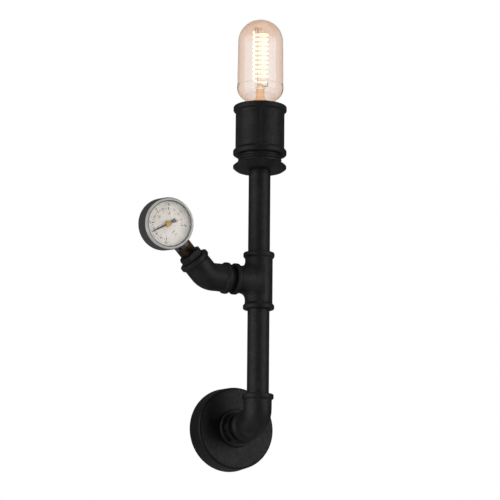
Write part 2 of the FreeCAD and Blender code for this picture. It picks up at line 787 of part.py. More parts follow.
def lampholder():
    """A porcelain lampholder that screws down on the stud, and the threaded shell in it."""
    axis = "-wall_reach"
    top = f"{PLATE_TOP} + holder_tall"
    pocket, seat = f"{PLATE_TOP} + stud_above + stud_room", "stud_radius + thread_gap"
    cup = turned("holder_turned", [
        (0, pocket), (seat, pocket), (seat, PLATE_TOP), ("holder_radius", PLATE_TOP), ("holder_radius", top),
        ("holder_bore", top), ("holder_bore", FLOOR_TOP), (0, FLOOR_TOP)])
    softened(cup, "holder_round", [("holder_radius", top)])
    drills = []
    for index, sign in enumerate(("", "-")):
        drills.append(rod(f"holder_way_{index}", "wire_radius + seat_gap", f"{PLATE_TOP} - overcut",
                          f"{FLOOR_TOP} + overcut", 0, f"{sign}contact_place"))
        drills.append(rod(f"holder_tap_{index}", "contact_screw + thread_gap",
                          f"{FLOOR_TOP} - contact_screw_depth - seat_gap", f"{FLOOR_TOP} + overcut", 0,
                          f"{sign}contact_screw_place"))
    place(keep(less("holder_body", cup, drills), "holder_body"), 0, axis)
    shell = tube("screw_shell_tube", "holder_bore - seat_gap", "holder_bore - seat_gap - shell_thick",
                 f"{FLOOR_TOP} + contact_thick", f"{top} - shell_top_gap")
    place(keep(shell, "screw_shell"), 0, axis)


def contacts():
    """Two brass strips screwed to the lampholder's floor: one under the shell, one with a tongue that
    ends just short of the bulb's tip."""
    half, rise = "contact_width / 2", f"{FLOOR_TOP} + contact_thick"
    inner = "contact_screw_place - contact_screw_head - contact_margin"
    tongue = "cap_bottom - contact_gap"
    bends = [((f"-{half}", f"{inner} - contact_thick", FLOOR_TOP), (half, inner, tongue)),
             ((f"-{half}", f"-{half}", f"{tongue} - contact_thick"), (half, inner, tongue))]
    under_shell = "holder_bore - seat_gap * 2 - contact_margin"
    past_wire = "contact_place + wire_radius + contact_margin"
    screws = []
    kinds = (("shell_contact", 0, under_shell, []), ("centre_contact", 180, past_wire, bends))
    for name, turn, outer, corners in kinds:
        strip = block(name + "_strip", (f"-{half}", inner, FLOOR_TOP), (half, outer, rise))
        parts = [strip] + [block(f"{name}_bend_{index}", *pair) for index, pair in enumerate(corners)]
        hole = rod(name + "_hole", "contact_screw + seat_gap", f"{FLOOR_TOP} - overcut",
                   f"{FLOOR_TOP} + overcut", 0, "contact_screw_place")
        base = joined(name + "_blank", parts) if corners else strip
        place(keep(less(name, base, [hole]), name), 0, "-wall_reach", 0, Rotation(Z, turn))
        bolt = screw(name + "_bolt", "contact_screw", "contact_screw_head", "contact_head_tall",
                     "contact_thick + contact_screw_depth")
        sign = "-" if turn else "+"
        screws.append(place(bolt, 0, f"-wall_reach {sign} contact_screw_place", rise))
    keep(group("contact_screws", screws), "contact_screws")


CAP_TOP = "cap_bottom + cap_tall"


def bulb_outline(inset):
    """The half section of the glass from the crown's edge down to the neck, moved in by an inset."""
    crown = f"glass_radius - ({inset})"
    neck = f"neck_glass - ({inset})"
    return [(crown, "glass_top - glass_radius", crown, -1),
            (f"glass_low_radius - ({inset})", "shoulder_high"),
            (f"shoulder_radius - ({inset})", "shoulder_low", f"shoulder_round - ({inset})", -1),
            (neck, "neck_end + neck_straight", f"neck_round + ({inset})", 1),
            (neck, "neck_end")]


def bulb():
    """A tubular bulb: blown glass, screw cap, insulator and contact."""
    axis = "-wall_reach"
    outer = bulb_outline("0")
    crown, wide, low, neck, foot = bulb_outline("glass_wall")
    climb = [foot, neck[:2], (*low[:2], neck[2], -1), (*wide[:2], low[2], 1), crown[:2],
             (0, "glass_top - glass_wall", crown[2], 1)]
    glass = turned("bulb_glass_turned", [(0, "glass_top")] + outer + climb)
    place(keep(glass, "bulb_glass"), 0, axis)
    cap_low, inside = "cap_bottom + insulator_tall", "cap_radius - cap_skin"
    cap = tube("bulb_cap_tube", "cap_radius", inside, cap_low, CAP_TOP)
    place(keep(cap, "bulb_cap"), 0, axis)
    seat = "cap_bottom + cap_tip_thick"
    insulator = turned("cap_insulator_turned", [
        (0, seat), ("cap_tip_radius + insulator_lip", seat), ("cap_radius - insulator_slope", cap_low),
        (inside, cap_low), (inside, f"{cap_low} + insulator_inside"), (0, f"{cap_low} + insulator_inside")])
    place(keep(insulator, "cap_insulator"), 0, axis)
    tip = turned("cap_contact_turned", [(0, "cap_bottom"), ("cap_tip_radius - cap_tip_taper", "cap_bottom"),
                                        ("cap_tip_radius", seat), (0, seat)])
    place(keep(tip, "cap_contact"), 0, axis)


def biarc(start, start_way, end, end_way):
    """Two arcs that meet smoothly and run from one point and direction to another."""
    span = end - start
    both = start_way + end_way
    a = 2 * (1 - start_way.dot(end_way))
    b = 2 * span.dot(both)
    reach = (-b + math.sqrt(b * b + 4 * a * span.dot(span))) / (2 * a)
    first, last = start + start_way * reach, end - end_way * reach
    middle = (first + last) * 0.5
    edges = []
    for head, corner, tail in ((start, first, middle), (middle, last, end)):
        halfway = (head + tail) * 0.5
        half, rise = (tail - head).Length / 2, (corner - halfway).Length
        sag = half * (math.sqrt(half * half + rise * rise) - half) / rise
        edges.append(Part.Arc(head, halfway + (corner - halfway).normalize() * sag, tail).toShape())
    return edges


def helix_spot(angle, radius, pitch, low):
    """The point of a helix at an angle, and the way it runs there."""
    spot = Vector(radius * math.cos(angle), radius * math.sin(angle), low + pitch * angle / (2 * math.pi))
    way = Vector(-radius * math.sin(angle), radius * math.cos(angle), pitch / (2 * math.pi))
    return spot, way.normalize()


def swept(path, radius):
    """A round tube of one radius along a path of edges."""
    wire = Part.Wire(path)
    start = wire.Edges[0].valueAt(wire.Edges[0].FirstParameter)
    way = wire.Edges[0].tangentAt(wire.Edges[0].FirstParameter)
    shell = Part.BRepOffsetAPI.MakePipeShell(wire)
    shell.add(Part.Wire(Part.Circle(start, way, radius).toShape()))
    shell.build()
    shell.makeSolid()
    solid = shell.shape()
    print(f"swept tube: length {wire.Length:.2f}, volume over section x length "
          f"{solid.Volume / (math.pi * radius ** 2 * wire.Length):.4f}")
    return solid


def coil_gap(radius, wire, pitch, turns):
    """The least distance from the coil's skin to its own next turns, on points along it."""
    steps = 72
    spots = [helix_spot(2 * math.pi * n / steps, radius, pitch, 0)[0] for n in range(int(turns * steps))]
    gaps = [(spots[n] - spots[m]).Length for n in range(steps) for m in range(n + steps // 2, len(spots))]
    return min(gaps) - 2 * wire


def bulb_inside():
    """Glass stem, centre rod, two leads and the spiral filament."""
    axis = "-wall_reach"
    low, turns, pitch = value("filament_low"), value("filament_turns"), value("filament_pitch")
    radius, wire = value("filament_radius"), value("filament_wire")
    shoulder, hollow = "stem_top - stem_radius", "stem_radius - stem_wall"
    stem = turned("glass_stem_turned", [
        ("stem_flare", "neck_end + stem_low"), ("stem_flare + stem_wall", "neck_end + stem_low"),
        ("stem_radius", "neck_end + stem_foot"), ("stem_radius", shoulder), ("press_half", "stem_top"),
        (0, "stem_top"), (0, shoulder), (hollow, f"{shoulder} - stem_root"), (hollow, "neck_end + stem_foot")])
    place(keep(stem, "glass_stem"), 0, axis)
    post = rod("centre_post", "rod_radius", "stem_top", "rod_top")
    crown = rod("centre_cap", "rod_cap", "rod_top", "rod_top + rod_cap_tall")
    place(keep(joined("support_rod", [post, crown]), "support_rod"), 0, axis)
    place(keep(solid_feature("filament", filament_coil(low, turns, pitch, radius, wire)), "filament"), 0, axis)
    print(f"filament: {turns} turns, least gap to itself {coil_gap(radius, wire, pitch, turns):.2f} mm")
    place(keep(solid_feature("lead_wires", leads(low, turns, pitch, radius, wire)), "lead_wires"), 0, axis)


def filament_coil(low, turns, pitch, radius, wire):
    """One unbroken wound tube, a biarc for each quarter turn, with a straight end of one diameter."""
    quarters = int(round(turns * 4))
    spots = [helix_spot(math.pi / 2 * n, radius, pitch, low) for n in range(quarters + 1)]
    path = [Part.LineSegment(spots[0][0] - spots[0][1] * 2 * wire, spots[0][0]).toShape()]
    for (start, start_way), (end, end_way) in zip(spots, spots[1:]):
        path += biarc(start, start_way, end, end_way)
    path.append(Part.LineSegment(spots[-1][0], spots[-1][0] + spots[-1][1] * 2 * wire).toShape())
    return swept(path, wire)


def leads(low, turns, pitch, radius, wire):
    """Two stiff leads from the stem's press: a short one outside the coil, a long one up inside it."""
    thick, inner = value("lead_radius"), value("lead_place")
    slope = value("stem_radius / (stem_radius - press_half)")
    foot = value("stem_top") - (inner - thick - value("press_half")) * slope
    posts = []
    for angle, sign in ((0.0, -1), (2 * math.pi * turns, 1)):
        spot, way = helix_spot(angle, radius, pitch, low)
        end = spot + way * sign * 2 * wire
        posts.append(end + Vector(way.x, way.y, 0).normalize() * sign * (thick + value("running_gap")))
    first, last = posts
    low_foot = Vector(first.x, first.y, 0).normalize() * value("short_lead_place") + Z * (foot - thick)
    short = [low_foot, Vector(first.x, first.y, low_foot.z), Vector(first.x, first.y, first.z + wire)]
    riser = Vector(last.x, last.y, 0).normalize() * inner
    over = last.z + wire + value("lead_over")
    long = [riser + Z * foot, riser + Z * over, Vector(last.x, last.y, over), last - Z * wire]
    tight = value("lead_bend")
    return Part.makeCompound([swept(rounded_path(short, [tight]), thick),
                              swept(rounded_path(long, [tight, tight]), thick)])


# ---- pressure gauge -------------------------------------------------------------------------------
def arm_frame():
    """On the free arm's axis: Z along the arm, origin at the 45 degree elbow's middle."""
    side = LEAN_OVER
    return frame(ELBOW_SPOT, side.cross(ARM_WAY), side, ARM_WAY)


def gauge_frame():
    """At the middle of the dial: Y along the arm, Z out of the dial, turned a little on its stem."""
    face = -Y - ARM_WAY * (-Y).dot(ARM_WAY)
    face.normalize()
    face = Rotation(ARM_WAY, value("gauge_turn")).multVec(face)
    return frame(ELBOW_SPOT + ARM_WAY * value("gauge_reach"), ARM_WAY.cross(face), ARM_WAY, face)


MESH_WAY = math.radians(-45)
CASE_INNER = "(case_radius - case_wall)"
RING_RADIUS = "(case_radius - ring_setback)"
RING_INNER = f"({RING_RADIUS} - ring_width)"
DIAL_RADIUS = f"({CASE_INNER} - dial_gap)"
TUBE_OUTER = f"({CASE_INNER} - tube_clear)"
TUBE_INNER = f"({TUBE_OUTER} - tube_deep)"
BLOCK_TOP = f"(-{TUBE_INNER} + block_below_tube)"
PLATE_SCREW_SPOTS = ("-plate_screw_place", "plate_screw_place")
LINK_WAY = math.radians(value("link_lean"))
ON_ARM = arm_frame()
IN_GAUGE = gauge_frame()


def seat_in(item, name, where, own=Placement()):
    item = keep(item, name)
    item.Placement = where * own
    return item


def gauge_adaptor():
    """The hexagon reducer in the elbow and the brass stem that screws into it."""
    low, corner = "angle_reach - adaptor_depth", "adaptor_flats / sqrt(3)"
    top = "angle_reach + adaptor_hex"
    lean = "(adaptor_flats / sqrt(3) - adaptor_flats / 2) * chamfer_slope"
    blank = turned("adaptor_blank", [
        ("adaptor_bore + thread_gap", low), ("pipe_radius", low), ("pipe_radius", "angle_reach"),
        ("adaptor_flats / 2", "angle_reach"), (corner, f"angle_reach + {lean}"), (corner, f"{top} - {lean}"),
        ("adaptor_flats / 2", top), ("adaptor_bore + thread_gap", top)])
    seat_in(hexed("adaptor", blank, "adaptor_flats", "angle_reach", top), "gauge_bushing", ON_ARM)


STEM_THREAD = "adaptor_depth + adaptor_hex - stem_short"
STEM_NECK = "stem_flats / 2 - neck_inset"


def gauge_stem():
    """The brass stem: thread, square shank, and the block inside the case that carries the works."""
    shoulder = "-gauge_reach + angle_reach + adaptor_hex"
    low, shank_top = f"{shoulder} - ({STEM_THREAD})", "-case_radius - shank_gap"
    thread = rod("stem_thread", "adaptor_bore", low, shoulder)
    half = "stem_flats / 2"
    shank = block("stem_shank", (f"-{half}", f"-{half}", shoulder), (half, half, shank_top))
    neck = rod("stem_neck", STEM_NECK, shank_top, f"-{CASE_INNER} + neck_past")
    inner = block("stem_block", ("-block_side", "-block_inner_front", f"-{CASE_INNER} + block_seat"),
                  ("block_side", "-back_plate_low - plate_gauge", BLOCK_TOP))
    bore = rod("stem_bore", "stem_hole", f"{low} - overcut", f"-{TUBE_OUTER} + overcut")
    stock = joined("stem_stock", [thread, shank, neck, inner])
    place(stock, turn=Rotation(X, -90))
    place(bore, 0, f"{low} - overcut", 0, Rotation(X, -90))
    root = bourdon_ring("tube_root", "0")
    deep = "plate_gauge * 2 + plate_screw_deep"
    taps = [rod(f"plate_tap_{index}", "plate_screw + thread_gap", "back_plate_low",
                f"back_plate_low + {deep}", x, f"{BLOCK_TOP} - plate_screw_drop")
            for index, x in enumerate(PLATE_SCREW_SPOTS)]
    seat_in(less("stem_drilled", stock, [bore, root] + taps), "gauge_stem", IN_GAUGE)


def bourdon_ring(name, inset):
    """A flat-sided tube bent round the gauge's middle, from its root to its tip."""
    body = doc.addObject("PartDesign::Body", name)
    low, high = f"{TUBE_INNER} + ({inset})", f"{TUBE_OUTER} - ({inset})"
    back, front = f"tube_back + ({inset})", f"tube_front - ({inset})"
    sketch = outline(body, "XZ_Plane", [(low, back), (high, back), (high, front), (low, front)])
    ring = body.newObject("PartDesign::Revolution", name + "_turn")
    ring.Profile = sketch
    ring.ReferenceAxis = (sketch, ["V_Axis"])
    link(ring, "Angle", "tube_start - tube_end")
    doc.recompute()
    middle = (value("tube_start") + value("tube_end")) / 2
    first = math.degrees(math.atan2(body.Shape.CenterOfGravity.y, body.Shape.CenterOfGravity.x))
    body.Placement = Placement(Vector(), Rotation(Z, middle - first))
    return body


def bourdon_tube():
    """The curved tube that straightens under pressure, and the tip that closes it."""
    outside, inside = bourdon_ring("bourdon_skin", "0"), bourdon_ring("bourdon_hollow", "tube_wall")
    seat_in(less("bourdon_cut", outside, [inside]), "bourdon_tube", IN_GAUGE)
    spot = tail_spot() + Vector(math.cos(LINK_WAY), math.sin(LINK_WAY), 0) * value("link_reach")
    front, thick, wide = value("tube_front"), value("tip_thick"), value("tip_bar")
    inner, outer, end = value(TUBE_INNER), value(TUBE_OUTER), value("tube_end")
    back = value("tube_back")
    cap = Part.makeBox(outer - inner, thick, front - back, Vector(inner, -thick, back))
    cap.rotate(Vector(), Z, end)
    boss = Part.makeCylinder(value("tip_boss"), thick, spot + Z * (front - thick))
    way = Rotation(Z, end).multVec(Vector((inner + outer) / 2, -thick / 2, 0)) - spot
    bar = Part.makeBox(way.Length, wide, wide, Vector(0, -wide / 2, front - thick))
    bar.rotate(Vector(), Z, math.degrees(math.atan2(way.y, way.x)))
    bar.translate(spot)
    pin_top = value("link_thick + link_back + pin_past")
    pin = Part.makeCylinder(value("pin_radius"), pin_top - front, spot + Z * front)
    tip = cap.fuse([boss, bar, pin]).cut(bourdon_space(inner, outer))
    seat_in(solid_feature("bourdon_tip_shape", tip.removeSplitter()), "bourdon_tip", IN_GAUGE)


def bourdon_space(inner, outer):
    """The space of the bourdon tube, to trim what butts against its end."""
    sweep = value("tube_start - tube_end")
    low, deep = value("tube_back - overcut"), value("tube_front - tube_back + 2 * overcut")
    solid, hollow = [Part.makeCylinder(radius, deep, Z * low, Z, sweep) for radius in (outer, inner)]
    ring = solid.cut(hollow)
    ring.rotate(Vector(), Z, value("tube_end"))
    return ring


def gauge_case():
    """The black steel case, a shallow cup with a boss where the stem goes in."""
    back, front = "-case_back", "case_front"
    floor = f"{back} + case_wall"
    cup = turned("case_cup", [(0, back), ("case_radius", back), ("case_radius", front), (CASE_INNER, front),
                              (CASE_INNER, floor), (0, floor)])
    softened(cup, "case_round", [("case_radius", back)])
    softened(cup, "case_round - case_wall", [(CASE_INNER, floor)])
    boss = doc.addObject("Part::Cone", "case_boss")
    link(boss, "Radius1", "boss_radius")
    link(boss, "Radius2", "boss_root")
    link(boss, "Height", "boss_reach + case_wall + boss_sink")
    boss_end = "-case_radius - boss_reach"
    place(boss, 0, boss_end, 0, Rotation(X, -90))
    room = turned("case_room", [(0, floor), (f"{CASE_INNER} - case_round + case_wall", floor),
                                (CASE_INNER, f"{back} + case_round"), (CASE_INNER, front), (0, front)])
    slab = block("case_slab", ("-case_radius", f"{boss_end} - overcut", "-case_radius"),
                 ("case_radius", 0, back))
    hole = rod("case_stem_hole", f"{STEM_NECK} + seat_gap", f"{boss_end} - overcut",
               f"-{CASE_INNER} + boss_sink + overcut")
    place(hole, 0, f"{boss_end} - overcut", 0, Rotation(X, -90))
    half = "stem_flats / 2 + seat_gap"
    pocket = block("case_shank_pocket", (f"-({half})", f"{boss_end} - overcut", f"-({half})"),
                   (half, "-case_radius - shank_gap + seat_gap", half))
    shell = less("case_whole", joined("case_stock", [cup, boss]), [room, slab, hole, pocket])
    seat_in(shell, "gauge_case", IN_GAUGE)


def gauge_front():
    """The snap ring, the clear window in it and the dial behind."""
    skirt, low = f"{CASE_INNER} - seat_gap", "case_front - ring_skirt"
    lip = f"{RING_INNER} + ring_lip"
    ring = turned("bezel_turned", [
        (RING_INNER, "case_front"), (lip, "case_front"), (lip, low), (skirt, low), (skirt, "case_front"),
        (RING_RADIUS, "case_front"), (RING_RADIUS, "ring_front"), (RING_INNER, "ring_front")])
    softened(ring, "ring_round", [(RING_RADIUS, "ring_front")])
    softened(ring, "ring_edge", [(RING_INNER, "ring_front")])
    seat_in(ring, "gauge_bezel", IN_GAUGE)
    pane_radius, pane_front = f"{RING_INNER} - running_gap", "window_back + window_thick"
    pane = turned("window_turned", [(0, "window_back"), (pane_radius, "window_back"), (pane_radius, pane_front),
                                    (0, pane_front)])
    seat_in(pane, "gauge_window", IN_GAUGE)
    dial = tube("dial_disc", DIAL_RADIUS, "dial_hole", "dial_back", "dial_back + dial_thick")
    seat_in(dial, "gauge_dial", IN_GAUGE)


def pointer_parts():
    """The pointer, its brass hub and the arbor with the pinion, all on one axis."""
    tip, tail = f"{DIAL_RADIUS} - pointer_clear", "-pointer_tail"
    left = [("-needle_point", tip), ("-needle_half", 0), ("-waist_half", "-waist_place"), ("-tail_half", tail)]
    right = [(across[1:], along) for across, along in reversed(left)]
    needle = padded("pointer_plate", "XY_Plane", left + right, "pointer_thick")
    eye = rod("pointer_eye", "hub_radius - eye_inset", 0, "pointer_thick")
    hole = rod("pointer_hole", "arbor_radius + collar_wall", "-overcut", "overcut")
    rest = Placement(Vector(0, 0, value("pointer_back")), Rotation(Z, value("pointer_rest")))
    seat_in(less("pointer_cut", joined("pointer_whole", [needle, eye]), [hole]), "gauge_pointer", IN_GAUGE, rest)
    front, back = "pointer_back + pointer_thick", "pointer_back - collar_long"
    collar = "arbor_radius + collar_wall - seat_gap / 2"
    hub = turned("hub_turned", [
        ("arbor_radius", back), (collar, back), (collar, front), ("hub_radius", front),
        ("hub_radius", "hub_front"), (0, "hub_front"), (0, f"{front} + arbor_past"),
        ("arbor_radius", f"{front} + arbor_past")])
    softened(hub, "hub_round", [("hub_radius", "hub_front")])
    seat_in(hub, "pointer_hub", IN_GAUGE)
    low = value("back_plate_low")
    shaft = Part.makeCylinder(value("arbor_radius"), value(f"{front} + arbor_past") - low, Z * low)
    count = int(value("pinion_teeth"))
    corners = []
    for index in range(count):
        corners += tooth_corners(count, MESH_WAY + 2 * math.pi * index / count)
    pinion = polar_face(corners).extrude(Z * value("sector_thick + 2 * pinion_past"))
    pinion.translate(Z * value("sector_back - pinion_past"))
    seat_in(solid_feature("pinion_arbor_shape", shaft.fuse(pinion)), "pinion_arbor", IN_GAUGE)


PRESSURE_ANGLE = math.radians(25)
ROOT_DEPTH = 1.25
FLANK_STEPS = 4


def tooth_corners(teeth, middle):
    """Radius and angle along one involute tooth, up one flank and down the other."""
    module = value("tooth_module")
    pitch = module * teeth / 2
    base = pitch * math.cos(PRESSURE_ANGLE)
    root, tip = pitch - ROOT_DEPTH * module, pitch + module

    def roll(radius):
        lean = math.acos(min(1.0, base / radius))
        return math.tan(lean) - lean

    half = math.pi / (2 * teeth) - value("backlash") / (4 * pitch) + roll(pitch)
    start = max(root, base)
    radii = [start + (tip - start) * step / FLANK_STEPS for step in range(FLANK_STEPS + 1)]
    flank = [(radius, half - roll(radius)) for radius in radii]
    if root < base:
        flank.insert(0, (root, half - roll(start)))
    left = [(radius, middle - lean) for radius, lean in flank]
    return left + [(radius, middle + lean) for radius, lean in reversed(flank)]


def polar_face(corners):
    loop = [Vector(radius * math.cos(angle), radius * math.sin(angle), 0) for radius, angle in corners]
    return Part.Face(Part.makePolygon(loop + [loop[0]]))


def sector_spot():
    """The sector gear's pivot, at the gears' centre distance from the pointer's axis."""
    reach = value("tooth_module * (pinion_teeth + sector_teeth) / 2")
    return Vector(reach * math.cos(MESH_WAY), reach * math.sin(MESH_WAY), 0)


def tail_spot():
    """Where the link is pinned to the sector's tail."""
    return sector_spot() + Vector(math.cos(MESH_WAY), math.sin(MESH_WAY), 0) * value("tail_reach")


def drilled(radius, spot):
    """A drill right through the movement at a spot."""
    deep = value("case_radius")
    return Part.makeCylinder(radius, 2 * deep, spot - Z * deep)


# the sector keeps these teeth of its full wheel, counted from the tooth that meets the pinion at rest
FIRST_TOOTH, LAST_TOOTH = -9, 3


def movement():
    """The sector gear with its arbor and tail pin, and the link to the bourdon tip."""
    count = int(value("sector_teeth"))
    step = 2 * math.pi / count
    facing = MESH_WAY + math.pi
    teeth = []
    for index in range(FIRST_TOOTH, LAST_TOOTH + 1):
        teeth += tooth_corners(count, facing + (index + 0.5) * step)
    root, rim = teeth[0][0], value("sector_rim") * step
    first, last = facing + FIRST_TOOTH * step - rim, facing + (LAST_TOOTH + 1) * step + rim
    fan = [(root, first)] + teeth + [(root, last), (0, 0)]
    thick, back = value("sector_thick"), value("sector_back")
    pivot, tail = sector_spot(), tail_spot()
    blade = polar_face(fan).extrude(Z * thick).fuse(Part.makeCylinder(value("sector_hub"), thick))
    blade.translate(pivot + Z * back)
    half = value("sector_arm")
    arm_bar = Part.makeBox(value("tail_reach"), 2 * half, thick, Vector(0, -half, 0))
    arm_bar.rotate(Vector(), Z, math.degrees(MESH_WAY))
    arm_bar.translate(pivot + Z * back)
    eye = Part.makeCylinder(value("sector_eye"), thick, tail + Z * back)
    arbor, pin = value("arbor_radius"), value("pin_radius")
    sector = blade.fuse([arm_bar, eye]).cut([drilled(arbor, pivot), drilled(pin, tail)])
    seat_in(solid_feature("sector_gear_shape", sector.removeSplitter()), "sector_gear", IN_GAUGE)
    low = value("back_plate_low")
    shaft = Part.makeCylinder(arbor, value("dial_back - arbor_short") - low, pivot + Z * low)
    tail_pin = Part.makeCylinder(pin, value("link_back + link_thick + pin_past") - back, tail + Z * back)
    pins = Part.makeCompound([shaft, tail_pin])
    seat_in(solid_feature("sector_pins_shape", pins), "sector_pins", IN_GAUGE)
    seat_in(solid_feature("tip_link_shape", tip_link(tail)), "tip_link", IN_GAUGE)


def tip_link(tail):
    """The link from the sector's tail to the bourdon tip, with a long hole at the tip's pin."""
    thick, wide, reach = value("link_thick"), value("link_half"), value("link_reach")
    far, slot_half = reach + value("link_past"), value("slot_half")
    bar = Part.makeBox(far, 2 * wide, thick, Vector(0, -wide, 0))
    ends = [Part.makeCylinder(wide, thick, Vector(x, 0, 0)) for x in (0, far)]
    low, high = reach - value("slot_back"), reach + value("slot_ahead")
    slot = Part.makeBox(high - low, 2 * slot_half, 2 * thick, Vector(low, -slot_half, -thick / 2))
    holes = [drilled(slot_half, Vector(x, 0, 0)) for x in (low, high)]
    holes.append(drilled(value("pin_radius + running_gap"), Vector()))
    bar = bar.fuse(ends).cut([slot] + holes).removeSplitter()
    bar.rotate(Vector(), Z, math.degrees(LINK_WAY))
    bar.translate(tail + Z * value("link_back"))
    return bar


PILLAR_ANGLES = (56, 146, 236)


def movement_plates():
    """Front and back plates, three pillars between them and two screws into the stem block."""
    thick, radius = value("plate_gauge"), value("movement_radius")
    low, high = value("back_plate_low"), value("dial_back - plate_gauge")
    holes = [drilled(value("arbor_radius + running_gap"), spot) for spot in (Vector(), sector_spot())]
    disc = Part.makeCylinder(radius, thick, Z * high)
    seat_in(solid_feature("front_plate_shape", disc.cut(holes)), "front_plate", IN_GAUGE)
    side, drop = value("block_side - tongue_inset"), value(f"{BLOCK_TOP} - tongue_drop")
    tongue = Part.makeBox(2 * side, radius, thick, Vector(-side, drop, low))
    screw_height = f"{BLOCK_TOP} - plate_screw_drop"
    holes += [drilled(value("plate_screw + seat_gap"), point(x, screw_height, 0)) for x in PLATE_SCREW_SPOTS]
    plate = Part.makeCylinder(radius, thick, Z * low).fuse(tongue).cut(holes)
    seat_in(solid_feature("back_plate_shape", plate.removeSplitter()), "back_plate", IN_GAUGE)
    out = X * (radius - value("pillar_inset"))
    pillars = [Part.makeCylinder(value("pillar_radius"), high - low - thick,
                                 Rotation(Z, angle).multVec(out) + Z * (low + thick)) for angle in PILLAR_ANGLES]
    seat_in(solid_feature("pillars_shape", Part.makeCompound(pillars)), "movement_pillars", IN_GAUGE)
    pair = []
    for index, x in enumerate(PLATE_SCREW_SPOTS):
        bolt = screw(f"plate_bolt_{index}", "plate_screw", "plate_screw_head", "plate_screw_tall",
                     "plate_gauge + plate_screw_deep", "plate_screw_slot")
        pair.append(place(bolt, x, screw_height, "back_plate_low", Rotation(X, 180)))
    seat_in(group("movement_screws", pair), "movement_screws", IN_GAUGE)


# ---- wires inside the pipes -----------------------------------------------------------------------
def rounded_path(corners, radii):
    """Straight runs joined by tangent arcs, one radius for each inner corner."""
    edges, start = [], corners[0]
    for index, radius in enumerate(radii, start=1):
        corner, after = corners[index], corners[index + 1]
        inward, onward = (corner - corners[index - 1]).normalize(), (after - corner).normalize()
        turn = inward.getAngle(onward)
        cut = radius * math.tan(turn / 2)
        first, last = corner - inward * cut, corner + onward * cut
        bisector = (onward - inward).normalize()
        centre = corner + bisector * (radius / math.cos(turn / 2))
        middle = centre - bisector * radius
        edges += [Part.LineSegment(start, first).toShape(), Part.Arc(first, middle, last).toShape()]
        start = last
    edges.append(Part.LineSegment(start, corners[-1]).toShape())
    return edges


# the way the earth wire comes to its lug, and the share of a run that a rounded corner may take
EARTH_WAY = Vector(-0.5, -0.22, 0.84).normalize()
ARC_SHARE = 0.45


def wires():
    """Live and neutral from the terminal block to the lampholder, and the short earth wire."""
    apart, turn, radius = value("wire_apart"), value("wire_turn"), value("wire_radius")
    start = point("-block_edge - wire_grip", "-wire_back", 0)
    low, high, top = value("upper_end - wire_leave"), value(f"{PLATE_TOP} - wire_below"), value(FLOOR_TOP)
    for name, pole, side in (("live_wire", "pole_pitch", 1), ("neutral_wire", "0", -1)):
        run = value("-wall_reach") + side * apart
        out = value("-wall_reach") + side * value("contact_place")
        corners = [start + Z * value(pole), Vector(0, start.y, side * apart), Vector(0, run, side * apart),
                   Vector(0, run, low), Vector(0, out, high), Vector(0, out, top)]
        radii = [turn, value("bend_radius") - side * apart, turn, turn]
        print(name, "radii", radii)
        keep(solid_feature(name + "_tube", swept(rounded_path(corners, radii), radius)), name)
    start = start - Z * value("pole_pitch")
    lug_spot = point(0, "-strap_thick - lug_thick - wire_radius", "-earth_place")
    corner, end = start + X * value("earth_run"), lug_spot + EARTH_WAY * value("lug_radius")
    reach = ARC_SHARE * value("earth_run") / math.tan(X.getAngle(end - corner) / 2)
    print("earth_wire radius", round(reach, 2))
    path = rounded_path([start, corner, end], [reach])
    keep(solid_feature("earth_wire_tube", swept(path, radius)), "earth_wire")


# ---- the whole light ------------------------------------------------------------------------------
SUBPART_MAKERS = (
    canopy, wall_bracket, canopy_screws, earth_parts, terminal_block, wall_stack, base_elbow, pipes, tee,
    branch_elbow, reducing_bushing, lamp_cup, holder_mount, lampholder, contacts, bulb, bulb_inside, gauge_adaptor,
    gauge_stem, bourdon_tube, gauge_case, gauge_front, pointer_parts, movement, movement_plates, wires)


def build():
    for make in SUBPART_MAKERS:
        make()
    doc.recompute()


def check():
    faulty = [item.Name for item in doc.Objects if "Invalid" in item.State or "Error" in item.State]
    faulty += [item.Label for item in SUBPARTS if item.Shape.isNull() or not item.Shape.isValid()]
    if faulty:
        raise RuntimeError("failed: " + ", ".join(faulty))


def write():
    os.makedirs("parts", exist_ok=True)
    for item in SUBPARTS:
        item.Shape.exportStep(f"parts/{item.Label}.step")
        print(f"{item.Label}: {len(item.Shape.Solids)} solid(s), {item.Shape.Volume:.1f} mm3")


build()
check()
write()
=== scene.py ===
# %% [markdown]
# # A pipe wall light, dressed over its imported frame
# The light is half-inch steel pipe and malleable-iron fittings, powder coated matte black, with a
# pressure gauge on a side branch and a tubular filament bulb in a beaded coupling. The frame holds
# every piece at its real size. This lesson adds what the frame leaves plain: finishes, threads, the
# casting's blends and seams, the dial's print, and a studio seen from the photograph's place.

import json
import math

import bmesh
import bpy
from mathutils import Matrix, Vector


